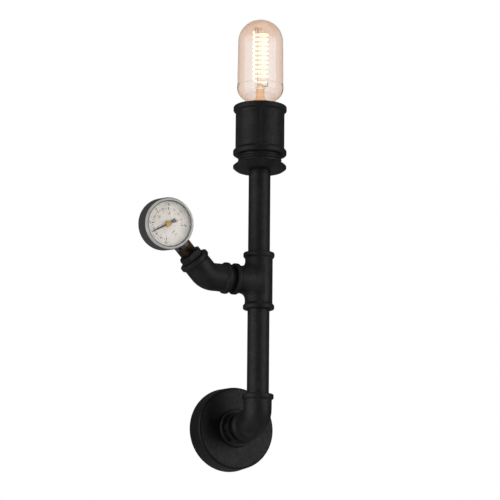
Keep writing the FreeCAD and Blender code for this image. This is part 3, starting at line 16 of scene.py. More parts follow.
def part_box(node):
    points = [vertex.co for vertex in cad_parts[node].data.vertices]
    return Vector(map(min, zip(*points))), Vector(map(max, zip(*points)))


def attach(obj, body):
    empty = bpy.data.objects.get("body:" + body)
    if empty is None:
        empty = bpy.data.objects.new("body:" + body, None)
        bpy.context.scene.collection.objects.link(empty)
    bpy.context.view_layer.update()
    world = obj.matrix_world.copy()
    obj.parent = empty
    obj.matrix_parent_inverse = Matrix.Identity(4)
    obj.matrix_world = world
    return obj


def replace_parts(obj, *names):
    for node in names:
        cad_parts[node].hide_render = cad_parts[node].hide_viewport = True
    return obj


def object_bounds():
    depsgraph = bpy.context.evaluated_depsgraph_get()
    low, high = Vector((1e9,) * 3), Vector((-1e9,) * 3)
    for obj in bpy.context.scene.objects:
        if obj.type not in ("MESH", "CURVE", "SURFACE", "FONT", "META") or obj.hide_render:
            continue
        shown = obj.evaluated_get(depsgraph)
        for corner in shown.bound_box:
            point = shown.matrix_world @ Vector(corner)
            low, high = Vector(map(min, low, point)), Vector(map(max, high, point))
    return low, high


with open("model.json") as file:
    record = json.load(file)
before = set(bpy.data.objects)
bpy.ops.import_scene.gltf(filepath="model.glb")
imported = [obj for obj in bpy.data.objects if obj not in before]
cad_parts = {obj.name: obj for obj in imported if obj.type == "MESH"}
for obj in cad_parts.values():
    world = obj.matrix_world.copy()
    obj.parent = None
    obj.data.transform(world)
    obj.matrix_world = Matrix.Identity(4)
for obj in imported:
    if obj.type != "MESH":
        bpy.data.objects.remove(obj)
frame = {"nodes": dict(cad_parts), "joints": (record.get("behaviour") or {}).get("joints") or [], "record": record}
for name in ("Cube", "Light", "Camera"):
    if name in bpy.data.objects:
        bpy.data.objects.remove(bpy.data.objects[name])
CAD_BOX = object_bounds()
MM = 0.001
print("frame:", len(frame["nodes"]), "nodes, box", [round(v, 4) for corner in CAD_BOX for v in corner])

# %% [markdown]
# ## The camera
# The photograph was taken from a little to the left of the light and from below its middle, with a
# long lens, so that upright pipes stay almost parallel. A view is easiest to think of as a point that
# is looked at, two angles and a distance; the camera's own axes are then three cross products. The
# small roll is the lean of the picture itself.

# %% Place the camera
VIEW_AZIMUTH = math.radians(-25.225)
VIEW_ELEVATION = math.radians(-11.28)
VIEW_ROLL = math.radians(0.514)
VIEW_DISTANCE = 2140.4 * MM
LOOKED_AT = Vector((-5.877, -60.0, 169.693)) * MM
LENS_MM = 158.4


def studio_camera():
    """A long lens behind the photograph's own viewpoint."""
    level = math.cos(VIEW_ELEVATION)
    back = Vector((math.sin(VIEW_AZIMUTH) * level, -math.cos(VIEW_AZIMUTH) * level,
                   math.sin(VIEW_ELEVATION)))
    right = Vector((math.cos(VIEW_AZIMUTH), math.sin(VIEW_AZIMUTH), 0.0))
    upward = back.cross(right)
    rolled_right = right * math.cos(VIEW_ROLL) + upward * math.sin(VIEW_ROLL)
    rolled_up = upward * math.cos(VIEW_ROLL) - right * math.sin(VIEW_ROLL)
    axes = Matrix((rolled_right, rolled_up, back)).transposed().to_4x4()
    camera = bpy.data.objects.new("studio_camera", bpy.data.cameras.new("studio_camera"))
    camera.data.lens = LENS_MM
    camera.matrix_world = Matrix.Translation(LOOKED_AT + back * VIEW_DISTANCE) @ axes
    bpy.context.scene.collection.objects.link(camera)
    bpy.context.scene.camera = camera
    return camera


print("camera at", [round(v, 3) for v in studio_camera().matrix_world.translation])

# %% [markdown]
# ## Small helpers for finishes
# Colours are picked the way a screen shows them, as sRGB hex, and one function turns them to the
# linear light that a renderer adds up. Another adds a node together with its settings and links, so a
# finish reads as a short list. Pattern sizes are given in millimetres of the real surface.

# %% Helpers for colours and nodes
def linear(hex_code):
    """An sRGB hex colour as linear red, green, blue and an alpha of 1."""
    channels = [int(hex_code[place:place + 2], 16) / 255 for place in (1, 3, 5)]
    return [c / 12.92 if c <= 0.04045 else ((c + 0.055) / 1.055) ** 2.4 for c in channels] + [1.0]


def per_mm(size):
    """The texture scale that gives a pattern about this many millimetres across."""
    return 1.0 / (size * MM)


def add_node(tree, kind, sockets=None, **settings):
    """Add a node: a socket that is given an output is linked, and any other takes its value."""
    node = tree.nodes.new(kind)
    for name, setting in settings.items():
        setattr(node, name, setting)
    for name, given in (sockets or {}).items():
        if isinstance(given, bpy.types.NodeSocket):
            tree.links.new(given, node.inputs[name])
        else:
            node.inputs[name].default_value = given
    return node


def new_finish(name, **constants):
    """A material with its main shader set to constants, and the object coordinates to build on."""
    material = bpy.data.materials.new(name)
    material.use_nodes = True
    tree = material.node_tree
    shader = tree.nodes["Principled BSDF"]
    for socket, constant in constants.items():
        shader.inputs[socket.replace("_", " ")].default_value = constant
    place = add_node(tree, "ShaderNodeTexCoord").outputs["Object"]
    return material, tree, shader, place


print("screen grey #808080 is", [round(channel, 3) for channel in linear("#808080")], "in linear light")

# %% [markdown]
# ## What every opaque finish needs
# No real surface has one flat colour. Broad patches lean from one colour to a close second one, a
# pattern makes it a little rougher here and there, and a fine bump breaks up its reflections. Each
# finish has its own patterns, but they reach the shader in the same way, so one function does that.

# %% Dress a shader in its patterns
# A Mix node has sockets of the same name for every kind of data, so those for colours go by number.
MIX_FACTOR, MIX_FIRST, MIX_SECOND, MIX_COLOUR = 0, 6, 7, 2
# Noise seldom leaves this middle part of its range.
NOISE_LOW, NOISE_HIGH = 0.3, 0.7


def dress(tree, shader, patches, colours, unevenness, roughness, skin, low=NOISE_LOW, high=NOISE_HIGH):
    """Patches choose between two hex colours, and unevenness between two roughnesses."""
    tone = add_node(tree, "ShaderNodeMapRange", {"Value": patches, "From Min": low, "From Max": high})
    colour = add_node(tree, "ShaderNodeMix", {MIX_FACTOR: tone.outputs["Result"],
                                              MIX_FIRST: linear(colours[0]),
                                              MIX_SECOND: linear(colours[1])}, data_type="RGBA")
    rough = add_node(tree, "ShaderNodeMapRange", {"Value": unevenness,
                                                  "From Min": NOISE_LOW, "From Max": NOISE_HIGH,
                                                  "To Min": roughness[0], "To Max": roughness[1]})
    tree.links.new(colour.outputs[MIX_COLOUR], shader.inputs["Base Color"])
    tree.links.new(rough.outputs["Result"], shader.inputs["Roughness"])
    tree.links.new(skin.outputs["Normal"], shader.inputs["Normal"])


print("noise is stretched from", (NOISE_LOW, NOISE_HIGH), "to the whole range")

# %% [markdown]
# ## Black powder coat
# The pipes and fittings are painted with dry powder that melts in an oven. It covers the sand-cast
# iron in a matte black skin: the casting's grain of about a millimetre still shows through it, the
# powder itself leaves a finer speckle of bumps, and here and there the film is a little thinner and
# greyer. The same function makes the coat on smooth pressed sheet, with less grain under it.

# %% Make the powder coats
THIN_FILM_MM = 9.0
# A little above the middle of the noise, so that more of the film is thick than thin.
THIN_LOW, THIN_HIGH = 0.35, 0.75
GRAIN_SHARE = 0.8
# The real bumps are a few tenths of a millimetre wide. They are drawn this coarse to show at all.
BUMP_MM = 0.7
BUMP_DEPTH = 0.05 * MM
BUMP_SHARE = 0.35
COAT_SMOOTHER, COAT_ROUGHER = 0.07, 0.09


def powder_coat(name, deep, thin, grain_mm, grain_depth, roughness, shine):
    """A matte paint film with cloudy thickness over a skin with its own grain."""
    material, tree, shader, place = new_finish(name, Specular_IOR_Level=shine)
    film = add_node(tree, "ShaderNodeTexNoise", {"Vector": place, "Scale": per_mm(THIN_FILM_MM),
                                                 "Detail": 3.0})
    grain = add_node(tree, "ShaderNodeTexNoise", {"Vector": place, "Scale": per_mm(grain_mm),
                                                  "Detail": 4.0})
    bumps = add_node(tree, "ShaderNodeTexVoronoi", {"Vector": place, "Scale": per_mm(BUMP_MM)},
                     feature="SMOOTH_F1")
    skin = add_node(tree, "ShaderNodeBump", {"Height": grain.outputs["Fac"], "Strength": GRAIN_SHARE,
                                             "Distance": grain_depth * MM})
    paint = add_node(tree, "ShaderNodeBump", {"Height": bumps.outputs["Distance"],
                                              "Strength": BUMP_SHARE, "Distance": BUMP_DEPTH,
                                              "Normal": skin.outputs["Normal"]})
    dress(tree, shader, film.outputs["Fac"], (deep, thin), grain.outputs["Fac"],
          (roughness - COAT_SMOOTHER, roughness + COAT_ROUGHER), paint, THIN_LOW, THIN_HIGH)
    return material


# Sand-cast iron under the coat: a soft, broken sheen, with a grain that is felt more than seen.
coated_iron = powder_coat("powder_coated_malleable_iron", "#0e0e10", "#1f1f21",
                          grain_mm=1.6, grain_depth=0.34, roughness=0.5, shine=0.3)
# Pressed sheet under the coat: deeper black and smoother, so a lamp makes a wide, dim glow on it.
coated_sheet = powder_coat("powder_coated_sheet_steel", "#08080a", "#101012",
                           grain_mm=2.4, grain_depth=0.05, roughness=0.42, shine=0.24)
print("powder coats:", coated_iron.name, coated_sheet.name)

# %% [markdown]
# ## Bare and plated metals
# Behind the canopy and inside the gauge the metal is bare or thinly plated. What tells such metals
# apart is their colour at the mirror angle and how fine the tool marks are, so one function turns a
# colour, a roughness and a mark size into a finish: long noise for the marks, and broad noise for the
# dulling of handled metal. Metals keep the shader's own index of refraction.

# %% Make the metals
DULL_PATCH_MM = 6.0
MARK_STRETCH = (1.0, 1.0, 9.0)
MARK_SHARE = 0.5
METAL_SMOOTHER, METAL_ROUGHER = 0.05, 0.12


def metal(name, bright, dull, roughness, mark_mm, mark_depth):
    """Bare or plated metal with fine tool marks and duller patches."""
    material, tree, shader, place = new_finish(name, Metallic=1.0)
    handling = add_node(tree, "ShaderNodeTexNoise", {"Vector": place, "Scale": per_mm(DULL_PATCH_MM),
                                                     "Detail": 2.0})
    drawn_out = add_node(tree, "ShaderNodeMapping", {"Vector": place, "Scale": MARK_STRETCH})
    marks = add_node(tree, "ShaderNodeTexNoise", {"Vector": drawn_out.outputs["Vector"],
                                                  "Scale": per_mm(mark_mm), "Detail": 3.0})
    tooling = add_node(tree, "ShaderNodeBump", {"Height": marks.outputs["Fac"], "Strength": MARK_SHARE,
                                                "Distance": mark_depth * MM})
    dress(tree, shader, handling.outputs["Fac"], (bright, dull), handling.outputs["Fac"],
          (roughness - METAL_SMOOTHER, roughness + METAL_ROUGHER), tooling)
    return material


# Tool marks are about a tenth of a millimetre apart. They are drawn 0.5 to 1.6 mm wide to show.
# Strip and screws, plated with thin zinc: cool grey, with faint duller clouds.
zinc_plate = metal("zinc_plated_steel", "#c9ccd0", "#9fa3a8", roughness=0.32, mark_mm=1.6,
                   mark_depth=0.03)
# Brass from the lathe or the press: warm yellow, with close tool marks that blur its highlights.
turned_brass = metal("turned_brass", "#d9a95a", "#a97c37", roughness=0.28, mark_mm=0.5,
                     mark_depth=0.02)
# Brass, coloured nearly black as a painted reflection of the dark room around it, and brown where a lamp catches
# it.
brass_in_painted_shade = metal("brass_with_painted_dark_reflection", "#3c2b20", "#14100c", roughness=0.34, mark_mm=0.5,
                       mark_depth=0.05)
# Brass plated with nickel: brighter than zinc, a little warmer, and almost a mirror.
nickel_plate = metal("nickel_plated_brass", "#cfcabf", "#a49e92", roughness=0.25, mark_mm=0.8,
                     mark_depth=0.02)
print("metals:", zinc_plate.name, turned_brass.name, brass_in_painted_shade.name, nickel_plate.name)

# %% [markdown]
# ## Skins that aren't metal
# Porcelain, plastic, enamel, paint and ink are made in very different ways, but to the eye they differ
# in colour, gloss and grain alone. So they share one function: two close tones in slow patches, a
# grain that shows in the sheen and the bump, and a clear gloss on top where there is one.

# %% Helper for skins
SHADE_MM = 7.0
SKIN_SHARE = 0.5
SKIN_SMOOTHER, SKIN_ROUGHER = 0.04, 0.06
GLAZE_ROUGHNESS = 0.06


def moulded(name, body, shade, roughness, grain_mm, grain_depth, gloss=0.0, **constants):
    """A non-metal in two close tones, with its own grain and as much clear gloss as it has."""
    material, tree, shader, place = new_finish(name, Coat_Weight=gloss, Coat_Roughness=GLAZE_ROUGHNESS,
                                               **constants)
    cloud = add_node(tree, "ShaderNodeTexNoise", {"Vector": place, "Scale": per_mm(SHADE_MM),
                                                  "Detail": 2.0})
    grain = add_node(tree, "ShaderNodeTexNoise", {"Vector": place, "Scale": per_mm(grain_mm),
                                                  "Detail": 3.0})
    skin = add_node(tree, "ShaderNodeBump", {"Height": grain.outputs["Fac"], "Strength": SKIN_SHARE,
                                             "Distance": grain_depth * MM})
    dress(tree, shader, cloud.outputs["Fac"], (body, shade), grain.outputs["Fac"],
          (roughness - SKIN_SMOOTHER, roughness + SKIN_ROUGHER), skin)
    return material


print("skins change tone over about", SHADE_MM, "mm")

# %% [markdown]
# ## Fired, moulded and painted pieces
# The lampholder is glazed porcelain: a hard white body under a thin, slightly wavy clear glass. The
# terminal block is natural nylon and the wires have PVC sleeves, both soft-looking plastics with a
# fine moulded grain. The foot of the bulb's cap is black glass, the pointer is stoved enamel, and the
# gauge's case is painted. Each only needs its own numbers.

# %% Make the fired, moulded and painted finishes
# After its two colours each has its roughness, and its grain's width and depth in millimetres. The
# real grain is finer than a picture shows, so it is drawn 0.3 to 2 mm wide.
# White clay, fired under a clear glaze: hard gloss with a faint waviness.
porcelain = moulded("glazed_porcelain", "#efece4", "#e4e0d5", 0.22, 1.1, 0.03, gloss=0.8, IOR=1.52)
# Moulded nylon: milky, waxy and dull.
nylon = moulded("natural_nylon", "#e0ddd3", "#d5d1c5", 0.48, 0.5, 0.02, IOR=1.53)
# Black glass, fused round the bulb's contact: deep, with a sharp gloss.
black_glass = moulded("fused_black_glass", "#0d0d10", "#17171c", 0.12, 2.0, 0.02, gloss=0.6, IOR=1.55)
# Enamel, baked on the thin pointer: even black with a low sheen.
stoved_enamel = moulded("stoved_black_enamel", "#101011", "#18181a", 0.42, 0.3, 0.01)
# Ink, laid on by a soft pad: dead flat, the first black and the second brick red.
dial_print = moulded("printed_black_ink", "#161616", "#1e1e1f", 0.55, 0.3, 0.01)
red_print = moulded("printed_red_ink", "#b4502f", "#a5442a", 0.55, 0.3, 0.01)
# Satin black paint on the drawn steel case, coloured grey as a painted sheen, so it shows grey beside the matte
# fittings.
case_paint = moulded("satin_black_case_paint", "#3a3a3d", "#454549", 0.38, 0.8, 0.03, gloss=0.2)
# Soft PVC, extruded round the wires: plain brown, blue and green with a slight sheen.
brown_sleeve = moulded("brown_pvc_sleeve", "#5f3a26", "#543220", 0.4, 0.6, 0.02)
blue_sleeve = moulded("blue_pvc_sleeve", "#2f57a0", "#294d90", 0.4, 0.6, 0.02)
green_sleeve = moulded("green_pvc_sleeve", "#4b9a3a", "#428a33", 0.4, 0.6, 0.02)
print("fired, moulded and painted:", porcelain.name, nylon.name, case_paint.name)

# %% [markdown]
# ## The dial and its ring
# The dial is thin steel sheet with baked white lacquer, faintly mottled where the film varies.
# The ring that snaps over the case is clear plastic that looks light grey, because its bevels catch
# the room. A translucent ring is costly to render and shows no more than a pale glossy one, so it is
# made as a pale plastic with a strong clear coat.

# %% Make the dial and ring finishes
# White lacquer, baked on steel sheet: warm white with a soft, uneven sheen.
dial_lacquer = moulded("baked_white_lacquer", "#f0ebe6", "#e4ded8", 0.45, 0.9, 0.015, gloss=0.15)
# Moulded acrylic: pale, with a bright line wherever its bevel meets a lamp.
ring_plastic = moulded("pale_ring_acrylic", "#e6e3df", "#cdcac6", 0.16, 3.0, 0.05, gloss=0.8, IOR=1.49)
print("gauge finishes:", dial_lacquer.name, ring_plastic.name)

# %% [markdown]
# ## How glass is set up
# Real glass bends light, and light from lamps has to reach what stands behind it. A path tracer blocks
# lamp rays at refracting glass, so for those rays alone the glass is swapped for a clear tint. A thin
# stain looks strongest where the wall is seen edge on, so the colour follows how much the surface
# faces away, and where asked it also deepens with height. Slow waves blur its reflections a little.

# %% Helper for glass
# Soda glass. The window's polycarbonate bends light a little more, which a flat window hardly shows.
GLASS_IOR = 1.5
RIM_BLEND = 0.35
WAVE_DEPTH = 0.2 * MM
WAVE_SHARE = 0.25
CROWN_HEIGHT = 22 * MM
CROWN_FADE = 14 * MM
CROWN_STAIN = 0.5
CROWN_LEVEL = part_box("bulb_glass")[1].z - CROWN_HEIGHT


def glass(name, facing, grazing, roughness, wave_mm, tint, stained_above=None):
    """Refracting glass whose colour deepens towards its outline and that lets lamps shine through."""
    material, tree, shader, place = new_finish(name, Transmission_Weight=1.0, Roughness=roughness,
                                               IOR=GLASS_IOR)
    stain = add_node(tree, "ShaderNodeLayerWeight", {"Blend": RIM_BLEND}).outputs["Facing"]
    if stained_above:
        height = add_node(tree, "ShaderNodeSeparateXYZ", {"Vector": place}).outputs["Z"]
        crown = add_node(tree, "ShaderNodeMapRange", {"Value": height, "To Max": CROWN_STAIN,
                                                      "From Min": stained_above,
                                                      "From Max": stained_above + CROWN_FADE})
        stain = add_node(tree, "ShaderNodeMath", {0: stain, 1: crown.outputs["Result"]},
                         operation="MAXIMUM").outputs["Value"]
    colour = add_node(tree, "ShaderNodeMix", {MIX_FACTOR: stain, MIX_FIRST: linear(facing),
                                              MIX_SECOND: linear(grazing)}, data_type="RGBA")
    waves = add_node(tree, "ShaderNodeTexNoise", {"Vector": place, "Scale": per_mm(wave_mm),
                                                  "Detail": 1.0})
    blown = add_node(tree, "ShaderNodeBump", {"Height": waves.outputs["Fac"], "Strength": WAVE_SHARE,
                                              "Distance": WAVE_DEPTH})
    tree.links.new(colour.outputs[MIX_COLOUR], shader.inputs["Base Color"])
    tree.links.new(blown.outputs["Normal"], shader.inputs["Normal"])
    lamp_ray = add_node(tree, "ShaderNodeLightPath").outputs["Is Shadow Ray"]
    clear = add_node(tree, "ShaderNodeBsdfTransparent", {"Color": linear(tint)}).outputs["BSDF"]
    either = add_node(tree, "ShaderNodeMixShader", {0: lamp_ray, 1: shader.outputs["BSDF"], 2: clear})
    tree.links.new(either.outputs["Shader"], tree.nodes["Material Output"].inputs["Surface"])
    return material


print("the bulb's crown begins at", round(CROWN_LEVEL, 3), "m")

# %% [markdown]
# ## Bulb, window and stem
# The bulb is blown soda glass with a thin amber stain, and the photograph shows its crown stained
# most. The gauge's window and the stem inside the bulb are clear, and differ in how wavy they are and
# in what shines through them.

# %% Make the glasses
# After its two colours each has its roughness, its waves' width in millimetres and its lamp tint.
# Soda glass, blown and stained amber: clear in the middle, peach along its sides and in its crown.
amber_glass = glass("amber_stained_glass", "#f7f1ee", "#e8bf98", 0.0, 14.0, "#fbf0e2", CROWN_LEVEL)
# Polycarbonate, moulded as the gauge's window: clear, and just wavy enough to break up a reflection.
window_plastic = glass("clear_polycarbonate", "#fdfdfc", "#f2f2f0", 0.05, 16.0, "#f6f6f4")
# Soda glass, pressed into the bulb's stem: clear, but coloured by the hot filament above it.
stem_glass = glass("clear_soda_glass", "#fff0dc", "#f0b878", 0.05, 4.0, "#ffe8c8")
print("glasses:", amber_glass.name, window_plastic.name, stem_glass.name)

# %% [markdown]
# ## The glowing filament
# The filament is a long thin wire, wound in one open coil and lit at low power, so it glows pale
# yellow instead of white. An emitting surface of a warm colour gives that, with a little more and
# less heat along the wire. It is kept just bright enough to look lit, because a strong emission would
# melt the turns together in the picture.

# %% Make the glow
HOT_PATCH_MM = 3.0
GLOW_STRENGTH = 1.1


def glowing_wire():
    """A surface that gives off its own colour, a little warmer in patches."""
    material, tree, shader, place = new_finish("glowing_tungsten", Roughness=0.6,
                                               Emission_Strength=GLOW_STRENGTH)
    heat = add_node(tree, "ShaderNodeTexNoise", {"Vector": place, "Scale": per_mm(HOT_PATCH_MM),
                                                 "Detail": 2.0})
    warmth = add_node(tree, "ShaderNodeMapRange", {"Value": heat.outputs["Fac"],
                                                   "From Min": NOISE_LOW, "From Max": NOISE_HIGH})
    colour = add_node(tree, "ShaderNodeMix", {MIX_FACTOR: warmth.outputs["Result"],
                                              MIX_FIRST: linear("#fff6e2"),
                                              MIX_SECOND: linear("#ffe9c0")}, data_type="RGBA")
    for socket in ("Base Color", "Emission Color"):
        tree.links.new(colour.outputs[MIX_COLOUR], shader.inputs[socket])
    return material


# Tungsten, drawn to wire and glowing: pale yellow, and hardly shaded by any lamp.
filament_glow = glowing_wire()
print("glow:", filament_glow.name)

# %% [markdown]
# ## Dressing the frame's own pieces
# Most pieces have their true shape in the frame already, so they only need the right finish. The
# record says which slot each piece takes, and one table gives the finish of each slot.

# %% Assign the finishes
FINISH_OF_SLOT = {
    "black_iron": coated_iron, "black_sheet": coated_sheet, "zinc": zinc_plate, "brass": turned_brass,
    "dark_brass": brass_in_painted_shade, "nickel": nickel_plate, "porcelain": porcelain, "nylon": nylon,
    "amber_glass": amber_glass, "clear_glass": stem_glass, "vitrite": black_glass,
    "filament_glow": filament_glow, "gauge_black": case_paint, "gauge_ring": ring_plastic,
    "gauge_clear": window_plastic, "dial_white": dial_lacquer, "pointer_black": stoved_enamel,
    "wire_brown": brown_sleeve, "wire_blue": blue_sleeve, "wire_green": green_sleeve,
}
SLOT_OF_NODE = {part["node"]: part["material_slot"] for part in frame["record"]["subparts"]}
for name, node in frame["nodes"].items():
    for material_slot in node.material_slots:
        material_slot.material = FINISH_OF_SLOT[SLOT_OF_NODE[name]]
print("finishes on", len(SLOT_OF_NODE), "nodes")

# %% [markdown]
# ## Turning a mesh into a piece
# Every added piece ends the same way: its mesh gets smooth faces with crisp creases, a finish and a body
# to ride on. Its object stays at the origin and its place is in its mesh, as the frame's own pieces are.

# %% Helper that finishes a piece
CREASE = math.radians(38)
# Points of a mesh that are nearer than this are merged.
SAME_POINT = 0.001 * MM


def finished(name, shape, material, body="base"):
    """Make a piece from a bmesh, which is used up."""
    bmesh.ops.remove_doubles(shape, verts=shape.verts, dist=SAME_POINT)
    bmesh.ops.recalc_face_normals(shape, faces=shape.faces)
    mesh = bpy.data.meshes.new(name)
    shape.to_mesh(mesh)
    shape.free()
    mesh.materials.append(material)
    mesh.shade_smooth()
    mesh.set_sharp_from_angle(angle=CREASE)
    piece = bpy.data.objects.new(name, mesh)
    bpy.context.scene.collection.objects.link(piece)
    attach(piece, body)
    print(f"{name}: {len(mesh.polygons)} faces on {body}")
    return piece


print("faces that meet at more than", round(math.degrees(CREASE)), "degrees keep a crisp edge")

# %% [markdown]
# ## Sweeping an outline
# Threads, the elbow's seam and the ring of painted shade at the window's edge are all one small outline carried
# round an axis.
# Spin does that, and where the sweep isn't closed its two open ends get a face. Most of them stand
# round the axis of the upright pipes, so that axis is measured here too.

# %% Helper that sweeps an outline
def spun_outline(shape, points, **spin):
    """Sweep a closed outline of points, and close its ends."""
    corners = [shape.verts.new(point) for point in points]
    edges = [shape.edges.new((corners[index - 1], corners[index])) for index in range(len(corners))]
    bmesh.ops.spin(shape, geom=corners + edges, cent=(0, 0, 0), **spin)
    ends = [edge for edge in shape.edges if edge.is_boundary]
    bmesh.ops.holes_fill(shape, edges=ends, sides=len(points))


TUBE_AXIS_Y = sum(corner.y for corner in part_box("lower_pipe")) / 2


def on_pole(height):
    """The point of the upright pipes' axis at a height."""
    return Vector((0, TUBE_AXIS_Y, height))


print("the pipes' axis is", round(-TUBE_AXIS_Y, 4), "m in front of the wall")

# %% [markdown]
# ## Pipe threads
# Three stretches of thread show between the fittings: on the close nipple of the branch, on the
# nipple behind the elbow and on the neck of the big bushing. A thread is one V-shaped ridge carried
# round and along at a steady rate, which is what spin does when it is also given a step. Half-inch
# pipe has 14 threads to the inch and inch-and-a-quarter pipe has 11.

# %% Cut the threads
INCH = 25.4 * MM
HALF_INCH_PITCH = INCH / 14
BIG_PITCH = INCH / 11
STEPS_IN_TURN = 48
PIPE_RADIUS = 10.65 * MM
NECK_RADIUS = 20.95 * MM
HEX_THICK = 7.6 * MM
# Shares of the pitch: how far the ridge stands proud, how deep it is rooted and half its width.
CREST_PROUD, FOOT_SUNK, HALF_FOOT = 0.22, 0.05, 0.29
BRANCH_HEIGHT = sum(corner.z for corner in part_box("branch_nipple")) / 2


def thread(name, start, end, radius, pitch):
    """A V ridge on the stretch of a cylinder that shows from one fitting to the next."""
    middle, foot = pitch / 2, HALF_FOOT * pitch
    low, crest = radius - FOOT_SUNK * pitch, radius + CREST_PROUD * pitch
    turns = (end - start).length / pitch - 1.0
    shape = bmesh.new()
    spun_outline(shape, [(low, 0, middle - foot), (crest, 0, middle), (low, 0, middle + foot)],
                 axis=(0, 0, 1), angle=2 * math.pi * turns, dvec=(0, 0, pitch / STEPS_IN_TURN),
                 steps=round(turns * STEPS_IN_TURN))
    turn = Vector((0, 0, 1)).rotation_difference(end - start).to_matrix().to_4x4()
    shape.transform(Matrix.Translation(start) @ turn)
    return finished(name, shape, coated_iron)


thread("branch_thread", Vector((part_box("tee")[0].x, TUBE_AXIS_Y, BRANCH_HEIGHT)),
       Vector((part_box("branch_elbow")[1].x, TUBE_AXIS_Y, BRANCH_HEIGHT)), PIPE_RADIUS, HALF_INCH_PITCH)
thread("nipple_thread", Vector((0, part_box("front_locknut")[0].y, 0)),
       Vector((0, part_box("base_elbow")[1].y, 0)), PIPE_RADIUS, HALF_INCH_PITCH)
thread("neck_thread", on_pole(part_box("reducing_bushing")[0].z + HEX_THICK),
       on_pole(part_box("lamp_cup")[0].z), NECK_RADIUS, BIG_PITCH)

# %% [markdown]
# ## The tee as a casting
# In the frame the tee's branch meets its run at a sharp line, but molten iron needs a rounded inside
# corner, and in the photograph the branch flows into the run. Smoothing can make it, but it needs
# small faces of one size to work on. So the piece starts from a merged copy of the frame's mesh, which
# the Remesh modifier rebuilds as an even net.

# %% Rebuild the tee as an even net
NET_SIZE = 0.55 * MM


def evaluated(piece):
    """A piece's mesh with its modifiers applied."""
    graph = bpy.context.evaluated_depsgraph_get()
    return bpy.data.meshes.new_from_object(piece.evaluated_get(graph))


def even_net(node, size):
    """A copy of a frame node, merged and rebuilt as even faces of one size."""
    copy = bmesh.new()
    copy.from_mesh(frame["nodes"][node].data)
    bmesh.ops.remove_doubles(copy, verts=copy.verts, dist=SAME_POINT)
    mesh = bpy.data.meshes.new(node + "_net")
    copy.to_mesh(mesh)
    copy.free()
    stand_in = bpy.data.objects.new(node + "_net", mesh)
    bpy.context.scene.collection.objects.link(stand_in)
    remesh = stand_in.modifiers.new("even", "REMESH")
    remesh.mode = "VOXEL"
    remesh.voxel_size = size
    shape = bmesh.new()
    shape.from_mesh(evaluated(stand_in))
    bpy.data.objects.remove(stand_in)
    return shape


tee_net = even_net("tee", NET_SIZE)
print("the tee's net has", len(tee_net.faces), "faces")

# %% [markdown]
# ## The tee's rounded corner
# One light pass of smoothing over the whole net takes off its small steps. Then only the points near
# the sharp line go on, for hundreds of passes, until the corner is filled as a fillet fills it. The
# beads and sockets stay crisp.

# %% Cast the tee
# Outside radius of the castings between their beads.
BODY_RADIUS = 13.45 * MM
FILLET_REACH = 7.0 * MM
FILLET_PASSES = 450


def smooth(shape, verts, passes):
    """Draw points towards their neighbours, a little in each pass."""
    for _ in range(passes):
        bmesh.ops.smooth_vert(shape, verts=verts, factor=0.5,
                              use_axis_x=True, use_axis_y=True, use_axis_z=True)


def near_corner(place):
    """Whether a point lies near the walls of both the run and the branch."""
    from_run = abs(math.hypot(place.x, place.y - TUBE_AXIS_Y) - BODY_RADIUS)
    from_branch = abs(math.hypot(place.z - BRANCH_HEIGHT, place.y - TUBE_AXIS_Y) - BODY_RADIUS)
    return place.x < 0 and max(from_run, from_branch) < FILLET_REACH


def cast_tee(shape):
    """The tee with its inside corner filled and its outside corners a little worn."""
    smooth(shape, shape.verts, 1)
    smooth(shape, [vert for vert in shape.verts if near_corner(vert.co)], FILLET_PASSES)
    return finished("cast_tee", shape, coated_iron)


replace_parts(cast_tee(tee_net), "tee")

# %% [markdown]
# ## The coupling's seams
# A casting comes out of a mould in two halves and keeps a low ridge where they met. On the big
# coupling that line runs straight up the front and the back, from bead to bead. A thin bar with
# bevelled edges, half sunk in the wall, is enough for it.

# %% Add the coupling's seams
CUP_RADIUS = 24.0 * MM
CUP_BEAD_WIDTH = 6.4 * MM
SEAM_WIDTH = 1.3 * MM
SEAM_PROUD = 0.45 * MM
SEAM_FACINGS = (math.radians(-113.5), math.radians(66.5))


def cup_seam(index, facing):
    """An upright ridge on the coupling's wall, from bead to bead."""
    low, high = (corner.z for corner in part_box("lamp_cup"))
    tall = high - low - 2 * CUP_BEAD_WIDTH
    shape = bmesh.new()
    bar = Matrix.Diagonal((2 * SEAM_PROUD, SEAM_WIDTH, tall, 1.0))
    bmesh.ops.create_cube(shape, size=1.0, matrix=bar)
    uprights = [edge for edge in shape.edges if edge.calc_length() > SEAM_WIDTH * 2]
    bmesh.ops.bevel(shape, geom=uprights, offset=SEAM_PROUD, affect="EDGES", segments=3, profile=0.5,
                    material=-1)
    out = Matrix.Translation((CUP_RADIUS, 0, 0))
    turn = Matrix.Rotation(facing, 4, "Z")
    shape.transform(Matrix.Translation(on_pole((low + high) / 2)) @ turn @ out)
    return finished(f"cup_seam_{index}", shape, coated_iron)


for index, facing in enumerate(SEAM_FACINGS):
    cup_seam(index, facing)

# %% [markdown]
# ## The wall elbow's seam
# On the elbow the same ridge follows the outside of the bend, in the plane that the bend lies in. So
# its outline is spun through a quarter turn about the bend's centre, and then put in its place.

# %% Add the elbow's seam
BEND_RADIUS = 15.0 * MM
BEND_STEPS = 24


def elbow_seam():
    """A ridge round the outside of the wall elbow's bend."""
    low = BEND_RADIUS + BODY_RADIUS - SEAM_PROUD
    top = low + 2 * SEAM_PROUD
    foot, crown = SEAM_WIDTH / 2, SEAM_WIDTH / 4
    shape = bmesh.new()
    spun_outline(shape, [(-foot, 0, -low), (-crown, 0, -top), (crown, 0, -top), (foot, 0, -low)],
                 axis=(1, 0, 0), angle=-math.pi / 2, steps=BEND_STEPS)
    shape.transform(Matrix.Translation((0, TUBE_AXIS_Y + BEND_RADIUS, BEND_RADIUS)))
    return finished("elbow_seam", shape, coated_iron)


elbow_seam()

